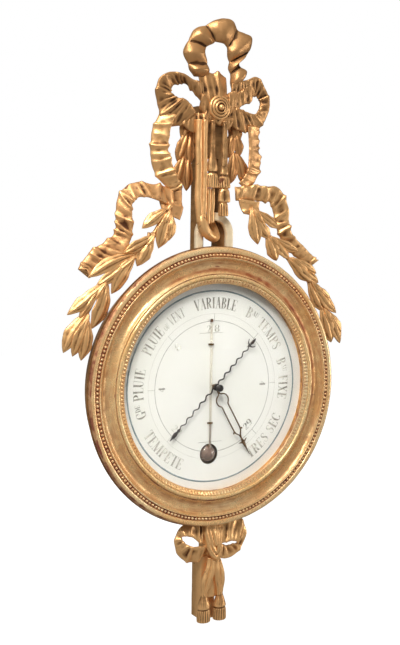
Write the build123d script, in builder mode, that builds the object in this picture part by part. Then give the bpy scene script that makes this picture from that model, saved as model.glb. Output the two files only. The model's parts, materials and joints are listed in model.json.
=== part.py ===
"""A giltwood wheel barometer: round drum with dial, ribbon-bow crest with laurel garlands, tasselled pendant,
and an aneroid movement inside. Millimetres. The origin is the nail hole of the hanging plate on the wall plane:
+Z up, +X to the viewer's right, and the viewer stands on the -Y side. A depth is a distance out from the wall."""

from build123d import *
from math import cos, pi, radians, sin
import os

os.makedirs("parts", exist_ok=True)

# ---- driving dimensions -----------------------------------------------------------------------
DIAL_Z = -400.0            # height of the dial's centre below the nail hole
DIAL_FACE = 36.0           # depth of the dial's painted face
DIAL_THICK = 2.0
DIAL_R = 184.0
CASE_BACK_R = 212.0        # drum radius on the wall
CASE_FRONT_R = 229.0       # drum radius under the outer moulding
CASE_DEPTH = 45.0
CASE_BORE = 188.5
COVER_BACK = 0.5           # back cover between these depths
COVER_FACE = 3.5
COVER_SCREWS_R = 193.0
DIAL_SCREWS_R = 182.0
SCREW_R = 1.2
PEARL_R = 214.0            # radius of the circle of pearls
PEARL_COUNT = 206
PEARL_SIZE = 2.3
LEAF_TIP_COUNT = 128
GLASS_R = 176.0
GLASS_BACK = 46.0
GLASS_THICK = 2.3
SIGHT_R = 171.5            # visible radius of the dial

BOARD_HALF = 27.0          # upright board
BOARD_THICK = 19.0
SLOT_HALF = 13.0
BOARD_TOP = 452.0          # heights from here down are counted from the dial's centre
SLOT_TOP = 370.0
PENDANT_HALF = 14.0
PENDANT_THICK = 29.0
PENDANT_LOW = -391.0
PENDANT_TOP = -284.0
NECK_X = 6.0                # narrow neck that joins the pendant to the drum
NECK_HALF = 8.0
NAIL_R = 4.0
PLATE_THICK = 2.0
PLATE_SCREWS = (382, 418)
DOWEL_R = 4.0
GLUE_LINE = 0.08            # gap between glued faces

ARCH_R = 35.0              # arch on top of the drum
ARCH_BORE = 21.5
ARCH_Z = 248.0
ARCH_BACK = 25.0
ARCH_FRONT = 34.5

CARVED_BACK = 22.0         # ribbons of the crest
CARVED_FRONT = 42.0
LEAF_BACK = 33.6
LEAF_FRONT = 44.4

BULB_X = -6.5              # thermometer
BULB_Z = -111.0
BULB_R = 16.0
BULB_DEPTH = 25.0
TUBE_R = 2.3
TUBE_DEPTH = DIAL_FACE + 2.5
TUBE_TOP = 106.0

HAND_REST = -134.0         # degrees clockwise from the top
SET_REST = 151.0
ARBOR_R = 1.0
RUNNING = 0.05             # radial clearance of a running fit
SET_STEM_R = 1.6

BASE_R = 55.0              # movement
BASE_BACK = 6.0
BASE_FRONT = 8.0
CAPSULE_R = 25.0
SHAFT_X = -42.0
SHAFT_DEPTH = 14.5
CHAIN_Z = 1.5
CHAIN_DEPTH = 29.1
LEVER_Z = 11.0
FLEXURE_X = 40.0
SCREW_X = 36.0

SECTION = Plane(origin=(0, 0, DIAL_Z), x_dir=(1, 0, 0), z_dir=(0, 0, -1))   # radius, depth
DIAL_AXIS = Axis((0, 0, DIAL_Z), (0, -1, 0))


# ---- helpers ----------------------------------------------------------------------------------
def front(depth):
    """A plane that faces the viewer, with x across and y up from the dial's centre."""
    return Plane(origin=(0, -depth, DIAL_Z), x_dir=(1, 0, 0), z_dir=(0, -1, 0))


def save(part, name):
    part.label = name
    export_step(part, f"parts/{name}.step")


def turn(*points, mode=Mode.ADD):
    """Revolve a closed outline of (radius, depth) points about the dial's axis."""
    with BuildSketch(SECTION) as outline:
        with BuildLine():
            Polyline(*points, close=True)
        make_face()
    revolve(outline.sketch, axis=DIAL_AXIS, mode=mode)


def disc(radius, back, face, x=0.0, z=0.0, mode=Mode.ADD):
    """A round boss or hole along the dial's axis between two depths."""
    with BuildSketch(front(back)) as outline:
        with Locations((x, z)):
            Circle(radius)
    extrude(outline.sketch, amount=face - back, mode=mode)


def bar(x0, x1, z0, z1, back, face, mode=Mode.ADD):
    """A rectangular block between two depths."""
    with BuildSketch(front(back)) as outline:
        with Locations(((x0 + x1) / 2, (z0 + z1) / 2)):
            Rectangle(x1 - x0, z1 - z0)
    extrude(outline.sketch, amount=face - back, mode=mode)


def carve(points, back, face, mode=Mode.ADD):
    """A smooth closed outline through the points, between two depths."""
    with BuildSketch(front(back)) as outline:
        with BuildLine():
            Spline(*points, periodic=True)
        make_face()
    extrude(outline.sketch, amount=face - back, mode=mode)


def cut_drum():
    """Take the drum's tapered side out of a piece that stands on it."""
    flare = (CASE_FRONT_R - CASE_BACK_R) / CASE_DEPTH
    turn((0, -1), (CASE_BACK_R - flare + GLUE_LINE, -1), (CASE_FRONT_R + GLUE_LINE, CASE_DEPTH), (230.4, 47),
         (230.4, 60), (0, 60), mode=Mode.SUBTRACT)


def leaf(base, tip, width, back, face):
    """A laurel leaf: two arcs from base to tip."""
    along = (Vector(*tip) - Vector(*base)).normalized()
    side = Vector(-along.Y, along.X) * width / 2
    middle = Vector(*base) * 0.6 + Vector(*tip) * 0.4
    with BuildSketch(front(back)) as outline:
        with BuildLine():
            ThreePointArc(base, middle + side, tip)
            ThreePointArc(tip, middle - side, base)
        make_face()
    extrude(outline.sketch, amount=face - back)


def stem(points, width, back, face):
    """The twig that the leaves grow from."""
    with BuildSketch(front(back)) as outline:
        with BuildLine():
            Polyline(*points)
        trace(line_width=width)
        with Locations(*points):
            Circle(width / 2)
    extrude(outline.sketch, amount=face - back)


def around(angle, radius):
    """The point at a clock angle, in degrees from the top, and a radius on the dial."""
    return radius * sin(radians(angle)), radius * cos(radians(angle))


# ---- drum -------------------------------------------------------------------------------------
with BuildPart() as drum_case:
    turn((198, 0), (CASE_BACK_R, 0), (CASE_FRONT_R, CASE_DEPTH), (CASE_BORE, CASE_DEPTH), (CASE_BORE, COVER_FACE),
         (198, COVER_FACE))
    for n in range(6):
        x, z = around(60 * n, COVER_SCREWS_R)
        disc(SCREW_R, COVER_FACE, 9, x, z, mode=Mode.SUBTRACT)
    with Locations(Plane(origin=(0, -9, DIAL_Z + 195), z_dir=(0, 0, 1))):
        with Locations((-20, 0), (20, 0)):
            Cylinder(DOWEL_R, 60, mode=Mode.SUBTRACT)
    with Locations(Plane(origin=(NECK_X, -14, DIAL_Z - 205), z_dir=(0, 0, 1))):
        Cylinder(DOWEL_R, 60, mode=Mode.SUBTRACT)
save(drum_case.part, "drum_case")

with BuildPart() as outer_moulding:
    with BuildSketch(SECTION) as torus_section:
        with BuildLine():
            Polyline((218.2, 54.0), (211.4, 54.0), (211.4, 55.6), (209.7, 55.6), (209.7, 45.0), (226.7, 45.0))
            ThreePointArc((226.7, 45.0), (229.9, 51.8), (218.2, 54.0))
        make_face()
    revolve(torus_section.sketch, axis=DIAL_AXIS)
save(outer_moulding.part, "outer_moulding")

with BuildPart() as pearl_row:
    with BuildSketch(SECTION) as pearl_section:
        with BuildLine():
            Line((PEARL_R, 54), (PEARL_R, 54 + PEARL_SIZE))
            RadiusArc((PEARL_R, 54 + PEARL_SIZE), (PEARL_R + PEARL_SIZE, 54), PEARL_SIZE)
            Line((PEARL_R + PEARL_SIZE, 54), (PEARL_R, 54))
        make_face()
    pearl = revolve(pearl_section.sketch, axis=Axis((PEARL_R, 0, DIAL_Z), (0, -1, 0)), mode=Mode.PRIVATE)
    add([pearl.rotate(DIAL_AXIS, 360 * n / PEARL_COUNT) for n in range(PEARL_COUNT)])
save(pearl_row.part, "pearl_row")

with BuildPart() as gorge_moulding:
    with BuildSketch(SECTION) as gorge_section:
        with BuildLine():
            Polyline((184.5, 54.6), (183.5, 53.2))
            ThreePointArc((183.5, 53.2), (180.3, 57.0), (177.1, 53.2))
            Polyline((177.1, 53.2), (177.1, DIAL_FACE), (188, DIAL_FACE), (188, 45.0), (209.5, 45.0), (209.5, 55.0))
            ThreePointArc((209.5, 55.0), (195.5, 47.4), (184.5, 54.6))
        make_face()
    revolve(gorge_section.sketch, axis=DIAL_AXIS)
    for n in range(6):
        x, z = around(60 * n + 30, DIAL_SCREWS_R)
        disc(SCREW_R, DIAL_FACE, DIAL_FACE + 6, x, z, mode=Mode.SUBTRACT)
save(gorge_moulding.part, "gorge_moulding")

with BuildPart() as sight_moulding:
    turn((SIGHT_R, 48.5), (SIGHT_R, 49.3), (176.9, 54.6), (176.9, 48.5))
save(sight_moulding.part, "sight_moulding")

with BuildPart() as leaf_tip_row:
    with BuildSketch(SECTION) as tip_section:
        with BuildLine():
            Polyline((172.6, 50.8), (176.4, 54.5), (174.2, 54.9), (172.6, 50.8))
        make_face()
    tip = revolve(tip_section.sketch, axis=DIAL_AXIS, revolution_arc=1.5, mode=Mode.PRIVATE)
    add([tip.rotate(DIAL_AXIS, 360 * n / LEAF_TIP_COUNT) for n in range(LEAF_TIP_COUNT)])
save(leaf_tip_row.part, "leaf_tip_row")

with BuildPart() as glass:
    disc(GLASS_R, GLASS_BACK, GLASS_BACK + GLASS_THICK)
    disc(4.0, GLASS_BACK, GLASS_BACK + GLASS_THICK, mode=Mode.SUBTRACT)
save(glass.part, "glass")

with BuildPart() as spacer_ring:
    turn((SIGHT_R + 1, DIAL_FACE), (GLASS_R, DIAL_FACE), (GLASS_R, GLASS_BACK), (SIGHT_R + 1, GLASS_BACK))
save(spacer_ring.part, "spacer_ring")

with BuildPart() as dial_plate:
    disc(DIAL_R, DIAL_FACE - DIAL_THICK, DIAL_FACE)
    disc(3.5, DIAL_FACE - DIAL_THICK, DIAL_FACE, mode=Mode.SUBTRACT)
    disc(BULB_R + 1, DIAL_FACE - DIAL_THICK, DIAL_FACE, BULB_X, BULB_Z, mode=Mode.SUBTRACT)
    for n in range(6):
        x, z = around(60 * n + 30, DIAL_SCREWS_R)
        disc(SCREW_R, DIAL_FACE - DIAL_THICK, DIAL_FACE, x, z, mode=Mode.SUBTRACT)
save(dial_plate.part, "dial_plate")

with BuildPart() as back_cover:
    disc(197.5, COVER_BACK, COVER_FACE)
    disc(4, COVER_BACK, COVER_FACE, SCREW_X, 0, mode=Mode.SUBTRACT)
    for n in range(6):
        x, z = around(60 * n, COVER_SCREWS_R)
        disc(SCREW_R, COVER_BACK, COVER_FACE, x, z, mode=Mode.SUBTRACT)
save(back_cover.part, "back_cover")

# ---- upright board, pendant and hanging plate -------------------------------------------------
with BuildPart() as upright_board:
    bar(-BOARD_HALF, BOARD_HALF, 200, BOARD_TOP, 0, BOARD_THICK)
    bar(-SLOT_HALF, SLOT_HALF, 190, SLOT_TOP, -1, BOARD_THICK + 1, mode=Mode.SUBTRACT)
    cut_drum()
    bar(-14, 14, 376, 424, 0, PLATE_THICK, mode=Mode.SUBTRACT)
    disc(8, 0, 12, 0, -DIAL_Z, mode=Mode.SUBTRACT)
    for z in PLATE_SCREWS:
        disc(SCREW_R, 0, 10, 0, z, mode=Mode.SUBTRACT)
    with Locations(Plane(origin=(0, -9, DIAL_Z + 195), z_dir=(0, 0, 1))):
        with Locations((-20, 0), (20, 0)):
            Cylinder(DOWEL_R, 100, mode=Mode.SUBTRACT)
save(upright_board.part, "upright_board")

with BuildPart() as pendant_pilaster:
    bar(-PENDANT_HALF, PENDANT_HALF, PENDANT_LOW, PENDANT_TOP, 0, PENDANT_THICK)
    bar(NECK_X - NECK_HALF, NECK_X + NECK_HALF, PENDANT_TOP, -200, 0, PENDANT_THICK)
    cut_drum()
    with Locations(Plane(origin=(NECK_X, -14, DIAL_Z - 205), z_dir=(0, 0, 1))):
        Cylinder(DOWEL_R, 90, mode=Mode.SUBTRACT)
save(pendant_pilaster.part, "pendant_pilaster")

with BuildPart() as case_dowels:
    with Locations(Plane(origin=(0, -9, DIAL_Z + 217), z_dir=(0, 0, 1))):
        with Locations((-20, 0), (20, 0)):
            Cylinder(DOWEL_R, 50)
    with Locations(Plane(origin=(NECK_X, -14, DIAL_Z - 219), z_dir=(0, 0, 1))):
        Cylinder(DOWEL_R, 50)
save(case_dowels.part, "case_dowels")

with BuildPart() as hanging_plate:
    bar(-13.8, 13.8, 376.2, 423.8, 0, PLATE_THICK)
    disc(NAIL_R, 0, PLATE_THICK, 0, -DIAL_Z, mode=Mode.SUBTRACT)
    for z in PLATE_SCREWS:
        disc(SCREW_R, 0, PLATE_THICK, 0, z, mode=Mode.SUBTRACT)
save(hanging_plate.part, "hanging_plate")


# ---- ribbons of the crest ---------------------------------------------------------------------
with BuildPart() as top_loop:
    carve([(-46, 501), (-60, 522), (-60, 538), (-50, 556), (-38, 570), (-14, 582), (8, 588), (24, 586), (36, 572),
           (58, 568), (62, 550), (44, 530), (54, 512), (48, 501), (28, 501), (20, 530), (8, 552), (-8, 550),
           (-22, 535), (-18, 516), (-16, 501)], CARVED_BACK, CARVED_FRONT)
save(top_loop.part, "top_loop")

with BuildPart() as bow_left:
    carve([(-22, 496), (-60, 499), (-92, 495), (-109, 474), (-107, 452), (-101, 430), (-70, 429), (-45, 436),
           (-22, 446), (-22, 470)], CARVED_BACK, CARVED_FRONT)
    carve([(-78, 480), (-62, 478), (-50, 465), (-64, 458), (-82, 464)], CARVED_BACK, CARVED_FRONT,
          mode=Mode.SUBTRACT)
save(bow_left.part, "bow_left")

with BuildPart() as bow_right:
    carve([(28, 492), (52, 499), (76, 503), (96, 480), (101, 462), (94, 436), (76, 428), (50, 429), (28, 440),
           (28, 466)], CARVED_BACK, CARVED_FRONT)
    carve([(44, 455), (64, 464), (78, 470), (81, 456), (68, 441), (48, 439)], CARVED_BACK, CARVED_FRONT,
          mode=Mode.SUBTRACT)
save(bow_right.part, "bow_right")

with BuildPart() as knot:
    bar(-18, 23, 430, 496, BOARD_THICK, 39.4)
    fillet(knot.edges().filter_by(Axis.Y), 8)
    fillet(knot.faces().sort_by(Axis.Y)[0].edges(), 5)
save(knot.part, "knot")

with BuildPart() as rosette:
    disc(19.5, 39.4, 43, 0, 449)
    disc(15, 43, 46, 0, 449)
    disc(9, 46, 49, 0, 449)
    with BuildSketch(front(49)):
        with Locations((0, 449)):
            Circle(5)
    extrude(amount=3, taper=25)
save(rosette.part, "rosette")

with BuildPart() as fall_left:
    carve([(-70, 422), (-101, 421), (-117, 404), (-117, 368), (-104, 340), (-84, 322), (-64, 322), (-74, 345),
           (-86, 364), (-84, 392), (-72, 410)], 20, 38)
save(fall_left.part, "fall_left")

with BuildPart() as fall_right:
    carve([(62, 421), (76, 421), (80, 400), (84, 372), (80, 352), (68, 340), (58, 342), (62, 360), (62, 390)], 20, 38)
save(fall_right.part, "fall_right")

with BuildPart() as husks_left:
    for base, tip, width in [((-44, 440), (-52, 404), 20), ((-36, 432), (-32, 392), 16), ((-50, 410), (-68, 366), 18),
                             ((-44, 408), (-48, 362), 18), ((-56, 372), (-62, 322), 20), ((-42, 374), (-42, 322), 16)]:
        leaf(base, tip, width, 8, 19.6)
    stem([(-31, 436), (-40, 405), (-46, 370), (-47, 340)], 8, 8, 19.6)
    bar(-BOARD_HALF, BOARD_HALF, 300, BOARD_TOP, 0, 20, mode=Mode.SUBTRACT)
save(husks_left.part, "husks_left")

with BuildPart() as husks_right:
    for base, tip, width in [((40, 436), (52, 404), 18), ((34, 415), (28, 374), 18), ((38, 415), (46, 374), 16),
                             ((36, 380), (30, 336), 18), ((42, 378), (56, 334), 20)]:
        leaf(base, tip, width, 8, 19.6)
    stem([(31, 436), (36, 410), (39, 380), (42, 350)], 8, 8, 19.6)
    bar(-BOARD_HALF, BOARD_HALF, 300, BOARD_TOP, 0, 20, mode=Mode.SUBTRACT)
save(husks_right.part, "husks_right")

with BuildPart() as sash_left:
    carve([(-64, 320), (-100, 321), (-134, 326), (-160, 319), (-170, 300), (-170, 268), (-174, 246), (-196, 230),
           (-222, 216), (-234, 192), (-216, 182), (-196, 204), (-160, 217), (-150, 232), (-144, 252), (-147, 280),
           (-150, 297), (-110, 300), (-70, 290)], 20, 33)
save(sash_left.part, "sash_left")

with BuildPart() as sash_right:
    carve([(40, 324), (74, 331), (98, 326), (116, 329), (138, 308), (146, 284), (145, 264), (158, 244), (180, 232),
           (204, 208), (200, 184), (176, 206), (148, 222), (130, 246), (124, 264), (116, 292), (110, 304),
           (84, 303), (46, 304)], 20, 33)
save(sash_right.part, "sash_right")

LEFT_TWIG = [(-88, 288), (-116, 240), (-156, 208), (-200, 164), (-232, 114)]
LEFT_LEAVES = [((-94, 284), (-136, 254), 15), ((-92, 276), (-106, 226), 18), ((-96, 272), (-122, 232), 16),
               ((-120, 238), (-144, 196), 17), ((-118, 240), (-168, 216), 15), ((-160, 206), (-224, 179), 16),
               ((-156, 202), (-186, 154), 18), ((-160, 200), (-210, 168), 15), ((-206, 164), (-258, 123), 18),
               ((-204, 160), (-219, 101), 20), ((-234, 116), (-264, 66), 20), ((-232, 114), (-250, 60), 16),
               ((-234, 112), (-236, 53), 16)]
with BuildPart() as garland_left:
    stem(LEFT_TWIG, 7, LEAF_BACK, LEAF_FRONT)
    for base, tip, width in LEFT_LEAVES:
        leaf(base, tip, width, LEAF_BACK, LEAF_FRONT)
    cut_drum()
save(garland_left.part, "garland_left")

RIGHT_TWIG = [(68, 292), (101, 240), (146, 204), (190, 162), (218, 114)]
RIGHT_LEAVES = [((66, 286), (80, 232), 17), ((76, 284), (119, 259), 15), ((72, 276), (106, 242), 16),
                ((100, 240), (118, 205), 17), ((104, 240), (141, 208), 17), ((112, 242), (160, 222), 15),
                ((146, 202), (184, 170), 17), ((156, 202), (204, 168), 17), ((160, 206), (199, 184), 15),
                ((190, 164), (218, 118), 18), ((196, 160), (243, 115), 18), ((218, 114), (236, 64), 18),
                ((222, 114), (253, 62), 18), ((228, 112), (254, 80), 16)]
with BuildPart() as garland_right:
    stem(RIGHT_TWIG, 7, LEAF_BACK, LEAF_FRONT)
    for base, tip, width in RIGHT_LEAVES:
        leaf(base, tip, width, LEAF_BACK, LEAF_FRONT)
    cut_drum()
save(garland_right.part, "garland_right")

# ---- arch, rope and crest tassels -------------------------------------------------------------
with BuildPart() as hanging_arch:
    disc(ARCH_R, ARCH_BACK, ARCH_FRONT, 0, ARCH_Z)
    bar(-ARCH_R, ARCH_R, 200, ARCH_Z, ARCH_BACK, ARCH_FRONT)
    disc(ARCH_BORE, ARCH_BACK, ARCH_FRONT, 0, ARCH_Z, mode=Mode.SUBTRACT)
    bar(-ARCH_BORE, ARCH_BORE, 200, ARCH_Z, ARCH_BACK, ARCH_FRONT, mode=Mode.SUBTRACT)
    cut_drum()
save(hanging_arch.part, "hanging_arch")

with BuildPart() as hanging_rope:
    for x in (-38, -31, -24):
        with Locations((x, -43, DIAL_Z + 350)):
            Cylinder(3.9, 150)
    with BuildLine() as hook:
        FilletPolyline((-31, -43, DIAL_Z + 276), (-25, -45, DIAL_Z + 251), (0, -30, DIAL_Z + 245),
                       (5, -17, DIAL_Z + 254), (5, -9.5, DIAL_Z + 286), radius=9)
    with BuildSketch(Plane(origin=hook.line @ 0, z_dir=hook.line % 0)):
        Circle(6)
    sweep(path=hook.line)
save(hanging_rope.part, "hanging_rope")


def tassel(x, top, neck, hem, depth, radius, flat=0.55):
    """A carved tassel, a turned shape squeezed front to back: cord, button, head and skirt."""
    with BuildSketch(Plane(origin=(0, 0, 0), x_dir=(1, 0, 0), z_dir=(0, -1, 0))) as half:
        with BuildLine():
            Polyline((0, hem), (radius, hem), (radius * 0.8, (hem + neck) / 2), (radius * 0.6, neck),
                     (radius * 0.75, neck + 5), (radius * 0.45, neck + 16), (radius * 0.35, top), (0, top),
                     close=True)
        make_face()
    shape = revolve(half.sketch, axis=Axis.Z, mode=Mode.PRIVATE)
    add(scale(shape, (1, flat, 1), mode=Mode.PRIVATE).moved(Location((x, -depth, DIAL_Z))))


with BuildPart() as crest_tassels:
    tassel(-10.6, 425, 346, 322, 43, 9.2)
    tassel(9.4, 425, 342, 322, 43, 10)
    tassel(9, 321.5, 310, 299, 43, 9.5)
    tassel(9, 298.5, 290, 276, 43, 8)
save(crest_tassels.part, "crest_tassels")

# ---- pendant bow, cords and tassels -----------------------------------------------------------
with BuildPart() as pendant_bow:
    carve([(-50, -229), (-68, -244), (-70, -266), (-60, -280), (-40, -290), (-28, -280), (-8, -274), (-6, -244),
           (-20, -238)], PENDANT_THICK + 0.2, 43)
    carve([(-54, -246), (-40, -248), (-24, -260), (-36, -266), (-50, -258)], PENDANT_THICK + 0.2, 43,
          mode=Mode.SUBTRACT)
    carve([(40, -234), (60, -240), (64, -262), (50, -284), (30, -292), (10, -286), (6, -268), (6, -246),
           (22, -240)], PENDANT_THICK + 0.2, 43)
    carve([(24, -261), (38, -259), (44, -268), (32, -274)], PENDANT_THICK + 0.2, 43, mode=Mode.SUBTRACT)
    bar(-6, 6, -300, -220, PENDANT_THICK, 44, mode=Mode.SUBTRACT)
    cut_drum()
save(pendant_bow.part, "pendant_bow")

with BuildPart() as pendant_knot:
    bar(-5.8, 5.8, -289, -236, PENDANT_THICK + 0.2, 46)
    fillet(pendant_knot.edges().filter_by(Axis.Y), 4)
    fillet(pendant_knot.faces().sort_by(Axis.Y)[0].edges(), 3)
save(pendant_knot.part, "pendant_knot")

with BuildPart() as pendant_cords:
    stem([(-2, -294), (-14, -320), (-13.6, -340)], 8, PENDANT_THICK + 0.2, 42)
    stem([(3, -294), (15, -320), (17, -340)], 8, PENDANT_THICK + 0.2, 42)
save(pendant_cords.part, "pendant_cords")

with BuildPart() as pendant_tassels:
    tassel(-14, -344.5, -366, -391, 38, 11, flat=0.75)
    tassel(17.5, -344.5, -366, -391, 38, 11, flat=0.75)
save(pendant_tassels.part, "pendant_tassels")

# ---- thermometer ------------------------------------------------------------------------------
TUBE_LOW = BULB_Z + 10.0
TUBE_PLANE = Plane(origin=(BULB_X, -TUBE_DEPTH, DIAL_Z + TUBE_LOW), z_dir=(0, 0, 1))
BULB_PLACE = (BULB_X, -BULB_DEPTH, DIAL_Z + BULB_Z)

with BuildPart() as thermometer_glass:
    with BuildSketch(TUBE_PLANE):
        Circle(TUBE_R)
    extrude(amount=TUBE_TOP - TUBE_LOW)
    with Locations(BULB_PLACE):
        Sphere(BULB_R)
        Sphere(BULB_R - 1, mode=Mode.SUBTRACT)
    with BuildSketch(TUBE_PLANE):
        Circle(0.8)
    extrude(amount=TUBE_TOP - TUBE_LOW - 4, mode=Mode.SUBTRACT)
save(thermometer_glass.part, "thermometer_glass")

with BuildPart() as thermometer_spirit:
    with Locations(BULB_PLACE):
        Sphere(BULB_R - 1.02)
    with BuildSketch(TUBE_PLANE):
        Circle(0.78)
    extrude(amount=40)
save(thermometer_spirit.part, "thermometer_spirit")

with BuildPart() as thermometer_cap:
    with BuildSketch(Plane(origin=(BULB_X, -TUBE_DEPTH, DIAL_Z + TUBE_TOP), z_dir=(0, 0, 1))):
        Circle(TUBE_R)
    extrude(amount=5)
    fillet(thermometer_cap.edges().sort_by(Axis.Z)[-1], 1)
save(thermometer_cap.part, "thermometer_cap")

with BuildPart() as thermometer_clips:
    for z in (68, -61):
        with BuildSketch(Plane(origin=(BULB_X, -DIAL_FACE, DIAL_Z + z), x_dir=(1, 0, 0), z_dir=(0, 0, 1))) as clip:
            with Locations((0, -1.6)):
                Rectangle(8.6, 3.2)
            with Locations((0, DIAL_FACE - TUBE_DEPTH)):
                Circle(2.8)
                Circle(TUBE_R + 0.02, mode=Mode.SUBTRACT)
            with Locations((0, 4)):
                Rectangle(12, 8, mode=Mode.SUBTRACT)
        extrude(clip.sketch, amount=3)
save(thermometer_clips.part, "thermometer_clips")


# ---- hands ------------------------------------------------------------------------------------
def pointing(depth, angle):
    """A plane that faces the viewer, with y along a hand at a clock angle."""
    return Plane(origin=(0, -depth, DIAL_Z), x_dir=(cos(radians(angle)), 0, -sin(radians(angle))), z_dir=(0, -1, 0))


HAND_BACK = DIAL_FACE + 5.7
with BuildPart() as indicating_hand:
    with BuildSketch(pointing(HAND_BACK, HAND_REST)) as hand_outline:
        Circle(5)
        with BuildLine():
            Spline(*[(1.9 * sin(pi * n / 2), 96 * n / 23) for n in range(1, 24)])
            Spline(*[(-1.9 * sin(pi * n / 2), -88 * n / 23) for n in range(1, 24)])
        trace(line_width=1.8)
        Polygon((-1, 94), (-5, 96), (-3.5, 102), (-4, 106), (0, 116), (4, 106), (3.5, 102), (5, 96), (1, 94),
                align=None)
        with BuildLine():
            ThreePointArc((-8, -100), (0, -91), (8, -100))
            Line((0, -87), (0, -108))
        trace(line_width=1.6)
        Circle(ARBOR_R, mode=Mode.SUBTRACT)
    extrude(hand_outline.sketch, amount=0.8)
save(indicating_hand.part, "indicating_hand")

with BuildPart() as hand_collet:
    disc(2.6, DIAL_FACE + 3.2, HAND_BACK)
    disc(ARBOR_R, DIAL_FACE + 3.2, HAND_BACK, mode=Mode.SUBTRACT)
save(hand_collet.part, "hand_collet")

with BuildPart() as hand_arbor:
    disc(ARBOR_R, 26.2, HAND_BACK + 1.2)
    disc(1.5, 28, 30.3)
    disc(1.9, 27.7, 28)
    disc(1.9, 30.3, 30.6)
save(hand_arbor.part, "hand_arbor")

with BuildPart() as centre_bush:
    disc(3.5, 33.4, DIAL_FACE)
    disc(5, 33.4, DIAL_FACE - DIAL_THICK)
    disc(3.5, DIAL_FACE, DIAL_FACE + 0.6)
    disc(ARBOR_R + RUNNING, 33, DIAL_FACE + 1, mode=Mode.SUBTRACT)
save(centre_bush.part, "centre_bush")

SET_BACK = DIAL_FACE + 7.6
with BuildPart() as set_hand:
    with BuildSketch(pointing(SET_BACK, SET_REST)) as set_outline:
        Circle(5)
        for side in (-1, 1):
            with BuildLine():
                Polyline((0, 4), (0, 14), (side * 8, 20), (side * 11.5, 28), (side * 10.5, 34), (side * 6.6, 40),
                         (side * 6.4, 86), (0, 96), (0, 110))
            trace(line_width=1.6)
        with Locations((-6.4, 86), (6.4, 86)):
            Circle(1.8)
        Polygon((-8, 108), (-2, 111), (0, 134), (2, 111), (8, 108), (2, 107), (0, 100), (-2, 107), align=None)
        Circle(SET_STEM_R, mode=Mode.SUBTRACT)
    extrude(set_outline.sketch, amount=0.8)
save(set_hand.part, "set_hand")

with BuildPart() as set_knob:
    disc(SET_STEM_R, SET_BACK, 54)
    with Locations((0, -57.5, DIAL_Z)):
        Sphere(5.2)
    disc(3.4, 50.4, 53.6)
save(set_knob.part, "set_knob")

with BuildPart() as glass_bush:
    disc(3.9, GLASS_BACK, GLASS_BACK + GLASS_THICK)
    disc(5.5, GLASS_BACK + GLASS_THICK, GLASS_BACK + GLASS_THICK + 1)
    disc(5.5, GLASS_BACK - 0.8, GLASS_BACK)
    disc(SET_STEM_R + RUNNING, GLASS_BACK - 1, 50, mode=Mode.SUBTRACT)
save(glass_bush.part, "glass_bush")

# ---- movement ---------------------------------------------------------------------------------
PILLARS = [around(angle, 48) for angle in (0, 140, 220)]

with BuildPart() as base_plate:
    disc(BASE_R, BASE_BACK, BASE_FRONT)
    disc(2.3, BASE_BACK, BASE_FRONT, SCREW_X, 0, mode=Mode.SUBTRACT)
    for x, z in PILLARS:
        disc(1.5, BASE_BACK, BASE_FRONT, x, z, mode=Mode.SUBTRACT)
save(base_plate.part, "base_plate")

with BuildPart() as movement_pillars:
    for x, z in PILLARS:
        disc(3, BASE_FRONT, DIAL_FACE - DIAL_THICK, x, z)
        disc(1.5, BASE_FRONT, BASE_FRONT + 6, x, z, mode=Mode.SUBTRACT)
save(movement_pillars.part, "movement_pillars")

with BuildPart() as pillar_screws:
    for x, z in PILLARS:
        disc(2.8, 4.4, BASE_BACK, x, z)
        disc(1.5, BASE_BACK, BASE_FRONT + 5.5, x, z)
        bar(x - 3, x + 3, z - 0.4, z + 0.4, 4.4, 5, mode=Mode.SUBTRACT)
save(pillar_screws.part, "pillar_screws")

with BuildPart() as vacuum_capsule:
    turn((0, BASE_FRONT), (10, BASE_FRONT), (11, 9.4), (13, 8.6), (15, 9.8), (17, 8.8), (19, 9.8), (21, 9.2),
         (CAPSULE_R, 10.6), (CAPSULE_R, 13.4), (21, 14.8), (19, 14.2), (17, 15.2), (15, 14.2), (13, 15.4),
         (11, 14.6), (10, 16), (3.5, 16), (3.5, 18.4), (1.6, 18.4), (1.6, 22), (0, 22))
    with Locations(Plane(origin=(0, -21.3, DIAL_Z), z_dir=(0, 0, 1))):
        Cylinder(0.8, 12.2, mode=Mode.SUBTRACT)
save(vacuum_capsule.part, "vacuum_capsule")

with BuildPart() as knife_edge_pin:
    with Locations(Plane(origin=(0, -21.3, DIAL_Z), z_dir=(0, 0, 1))):
        Cylinder(0.8, 12)
save(knife_edge_pin.part, "knife_edge_pin")

with BuildPart() as spring_bridge:
    bar(29, 39, -33, 33, 12, 15)
    bar(29, 39, -33, -28, BASE_FRONT, 12)
    bar(29, 39, 28, 33, BASE_FRONT, 12)
    disc(2.05, 12, 15, SCREW_X, 0, mode=Mode.SUBTRACT)
save(spring_bridge.part, "spring_bridge")

with BuildPart() as main_spring:
    with BuildSketch(Plane(origin=(0, 0, DIAL_Z - 14), x_dir=(1, 0, 0), z_dir=(0, 0, 1))) as spring_side:
        with BuildLine():
            Line((30, -15.6), (41, -15.6))
            ThreePointArc((41, -15.6), (43.2, -17.6), (41, -19.7))
            Line((41, -19.7), (-8, -19.7))
        trace(line_width=1.2)
    extrude(spring_side.sketch, amount=28)
    bar(-9, 2.4, -2.4, 2.4, 18.9, 20.5, mode=Mode.SUBTRACT)
save(main_spring.part, "main_spring")

LEVER_END = SHAFT_X + 6 * cos(radians(13.5))
with BuildPart() as main_lever:
    bar(LEVER_END - 2, FLEXURE_X, LEVER_Z - 1.5, LEVER_Z + 1.5, 22.4, 24.4)
    bar(20, FLEXURE_X, LEVER_Z - 3, LEVER_Z + 3, 20.4, 22.4)
    disc(0.8, 17.4, 22.4, LEVER_END, LEVER_Z)
save(main_lever.part, "main_lever")

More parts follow.
